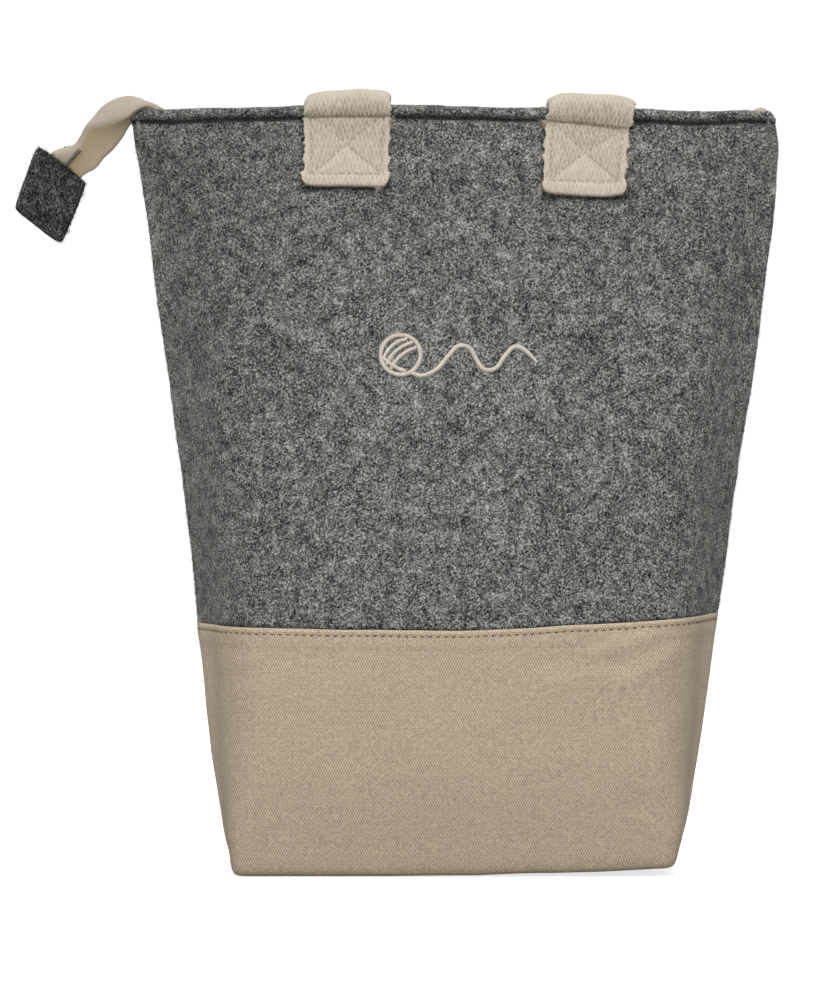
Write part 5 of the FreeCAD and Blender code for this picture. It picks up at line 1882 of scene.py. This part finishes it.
build = Build()
angle = np.radians(np.linspace(20, 380, 60))
circle = np.stack([BALL_X + BALL_RADIUS * np.cos(angle),
                   BALL_Z + BALL_RADIUS * np.sin(angle)], 1)
satin(build, circle, lambda share: 2.5 + 0 * share, seed=1)
for angle, offset, bow, seed in ((0.70, 4.6, 2.4, 10), (0.70, 1.0, 2.3, 11),
                                 (0.70, -2.6, 2.1, 12), (-0.55, -6.4, -1.0, 20)):
    ball_turn(build, angle, offset, bow, seed)
satin(build, [(BALL_X + dx, BALL_Z + dz) for dx, dz in YARN_END], yarn_end_width, seed=31)
add_part(build, "embroidery_yarn_ball", SATIN_THREAD,
         replaces=["embroidered_motif"])

# =============================================================================
# Loose felt fibres: they soften the edges of the felt
# =============================================================================
FIBRE_CURL = 0.8


def add_fibres(name, material, roots, lying, normals, rng, length, radius, lie,
               ride="bag_body"):
    """Short curved three-sided fibres; lying is a direction along the cloth.

    length is a range and lie, up to 1, says how flat the fibres rest.
    """
    count = len(roots)
    t = np.linspace(0, 1, 5)
    reach = rng.uniform(*length, count)[:, None]
    angle = rng.uniform(0, 2 * math.pi, count)[:, None]
    across = np.cross(lying, normals)
    heading = lying * np.cos(angle) + across * np.sin(angle)
    swerve = -lying * np.sin(angle) + across * np.cos(angle)
    rise = (rng.uniform(0.0, 1.0, count) ** 2 * (1 - lie) * 2.2)[:, None]
    bend = rng.normal(0, FIBRE_CURL, count)[:, None]
    wiggle = rng.normal(0, FIBRE_CURL * 0.7, count)[:, None]
    sideways = reach * (bend * t ** 2 * 0.5 + wiggle * np.sin(t * 5) * 0.15)
    upward = reach * rise * t - 0.05 + 0.10 * np.sin(np.pi * t)
    path = (roots[:, None] + heading[:, None] * (reach * t)[..., None]
            + swerve[:, None] * sideways[..., None] + normals[:, None] * upward[..., None])
    tangent = unit(np.gradient(path, axis=1))
    side = unit(np.cross(tangent, normals[:, None]))
    over = np.cross(side, tangent)
    radii = radius * rng.uniform(0.7, 1.25, count)[:, None] * (1 - 0.55 * t)[None]
    corner = (np.arange(3) * 2 * math.pi / 3 + math.pi / 2)[None, None, :, None]
    ring = path[:, :, None] + radii[..., None, None] * (
        np.cos(corner) * side[:, :, None] + np.sin(corner) * over[:, :, None])
    idx = np.arange(count * len(t) * 3).reshape(count, len(t), 3)
    after = np.roll(idx, -1, axis=2)
    quads = np.stack([idx[:, :-1], idx[:, 1:], after[:, 1:], after[:, :-1]], -1)
    caps = np.concatenate([idx[:, 0, ::-1], idx[:, -1]])
    build = Build()
    build.add(ring, [quads.reshape(-1, 4)[:, ::-1], caps[:, ::-1]])
    add_part(build, name, material, ride=ride, outward=False)


def face_fibres(side, label, rng):
    count = 5600
    frac = rng.uniform(0.0, 1.0, count)
    z = rng.uniform(146, 424, count)
    # a third of them sit right at the side seams, where they show against the light
    third = count // 3
    frac[:third] = np.where(rng.random(third) < 0.5, rng.uniform(0, 0.03, third),
                            rng.uniform(0.97, 1, third))
    roots = on_face(side, frac, z, 0.15)
    normals = on_face(side, frac, z, 1.15) - roots
    normals[:, 1] += side * 1e-4
    normals = unit(normals)
    lying = unit(np.cross(normals, np.array([0.0, 0, 1.0])))
    add_fibres("felt_fibres_" + label, WOOL_HAIR, roots, lying, normals, rng,
               length=(1.2, 3.6), radius=0.085, lie=0.80)


def hem_fibres(side, label, rng):
    """Fibres along the crown of the hem, clear of the handles."""
    count = 1500
    frac = rng.uniform(0.0, 1.0, count)
    z = rng.uniform(431.5, 434.4, count)
    roots = on_face(side, frac, z, -0.6)
    normals = on_face(side, frac, z, 0.4) - roots
    upward = ((z - 431.5) / 2.9)[:, None]
    normals = unit(normals * (1 - upward) + np.array([0, 0, 1.0]) * upward)
    keep = np.all([np.abs(roots[:, 0] - centre) > 25 for centre in STRAP_CENTRES], axis=0)
    lying = np.tile(X_WAY, (count, 1))
    add_fibres("hem_fibres_" + label, WOOL_HAIR, roots[keep], lying[keep], normals[keep],
               rng, length=(0.9, 2.4), radius=0.08, lie=0.72)


def tab_fibres(rng):
    """Fibres on the tab, half of them on its edges."""
    count = 1500
    rows, cols = tab_top.shape[:2]
    row, col = rng.integers(0, rows, count), rng.integers(0, cols, count)
    half = count // 2
    edge = rng.integers(0, 4, half)
    row[:half] = np.where(edge == 0, 0, np.where(edge == 1, rows - 1, row[:half]))
    col[:half] = np.where(edge == 2, 0, np.where(edge == 3, cols - 1, col[:half]))
    down = TAB_LOW_LEFT - TAB_TOP_LEFT
    add_fibres("tab_fibres", DARK_HAIR, tab_top[row, col] - TAB_NORMAL * 0.1,
               np.tile(down / np.linalg.norm(down), (count, 1)),
               np.tile(TAB_NORMAL, (count, 1)), rng, length=(0.8, 2.4), radius=0.09,
               lie=0.75, ride="tail")


fibre_rng = np.random.default_rng(77)
for side, label in SIDES:
    face_fibres(side, label, fibre_rng)
    hem_fibres(side, label, fibre_rng)
tab_fibres(fibre_rng)


# =============================================================================
# Stage, lights and camera
# =============================================================================
def stage_material(name, color):
    """White paper to the camera; to everything else a duller card that throws less light."""
    nodes = Shader(name)
    inputs = nodes.principled.inputs
    slow = nodes.noise(nodes.position, scale=3.0)
    nodes.put(inputs["Base Color"], nodes.ramp(slow, [(0.0, tint(color, 0.985)), (1.0, color)]))
    inputs["Roughness"].default_value = 0.9
    inputs["Specular IOR Level"].default_value = 0.05
    glow = nodes.node("ShaderNodeEmission")
    glow.inputs["Strength"].default_value = 0.74
    paper = nodes.filled(nodes.node("ShaderNodeAddShader"), nodes.principled.outputs[0],
                         glow.outputs[0])
    card = nodes.filled(nodes.node("ShaderNodeBsdfDiffuse"), (0.42, 0.42, 0.42, 1))
    to_camera = nodes.node("ShaderNodeLightPath").outputs["Is Camera Ray"]
    choice = nodes.filled(nodes.node("ShaderNodeMixShader"), to_camera, card, paper)
    nodes.put(nodes.output.inputs[0], choice)
    return nodes.material


def floor_and_backdrop():
    """Floor that curves up into a backdrop, all round."""
    floor_radius, curve_radius, wall_top, drop = 3400.0, 1200.0, 5000.0, 0.25
    profile = [(1000.0, 0.0), (2200.0, 0.0), (floor_radius, 0.0)]
    for a in np.linspace(0, math.pi / 2, 14)[1:]:
        profile.append((floor_radius + curve_radius * math.sin(a),
                        curve_radius * (1 - math.cos(a))))
    profile.append((floor_radius + curve_radius, wall_top))
    radius, z = (column[:, None] for column in np.array(profile).T)
    angle = np.linspace(0, 2 * math.pi, 97)[:-1]
    build = Build()
    build.grid(np.stack([radius * np.cos(angle), radius * np.sin(angle),
                         z - drop + 0 * angle], -1), wrap_u=True)
    centre = build.count
    build.add([[0, 0, -drop]], [])
    ring = np.arange(96)
    build.faces.append(np.stack([np.full(96, centre), ring, np.roll(ring, -1)], -1))
    obj = build.to_object("floor_and_backdrop", stage_material("pale_stage", (0.93,) * 3))
    face_outward(obj)


floor_and_backdrop()

# square area lights: name, place and side in metres, watts
LIGHTS = (
    ("key", (-0.25, -2.4, 2.0), 1.3, 42),
    ("left", (-1.9, -2.1, 0.9), 1.3, 9),
    ("fill", (1.9, -2.2, 1.0), 1.8, 13),
    ("top", (0.0, 0.2, 2.4), 1.4, 22),
    ("back", (0.4, 2.6, 1.7), 1.6, 22),
)
LIGHT_TARGET = Vector((0, 0, 0.2))
scene = bpy.context.scene
for name, place, size, power in LIGHTS:
    light = bpy.data.lights.new(name, "AREA")
    light.shape = "RECTANGLE"
    light.size = size
    light.size_y = size
    light.energy = power
    lamp = bpy.data.objects.new(name, light)
    lamp.location = place
    lamp.rotation_euler = (LIGHT_TARGET - Vector(place)).to_track_quat("-Z", "Y").to_euler()
    scene.collection.objects.link(lamp)

world = scene.world or bpy.data.worlds.new("world")
scene.world = world
world.use_nodes = True
background = world.node_tree.nodes.get("Background")
background.inputs["Color"].default_value = (1.0, 1.0, 1.0, 1)
background.inputs["Strength"].default_value = 0.40

lens = bpy.data.cameras.new("camera")
lens.lens = 135.0
lens.sensor_width = 36.0
lens.clip_start = 0.1
lens.clip_end = 50.0
camera = bpy.data.objects.new("camera", lens)
camera.location = (-0.02487, -2.153, 0.2090)
camera.rotation_euler = (math.pi / 2, 0.0, 0.0)
scene.collection.objects.link(camera)
scene.camera = camera
scene.view_settings.view_transform = "Standard"
scene.view_settings.look = "None"
scene.view_settings.exposure = 0.0
scene.view_settings.gamma = 1.0
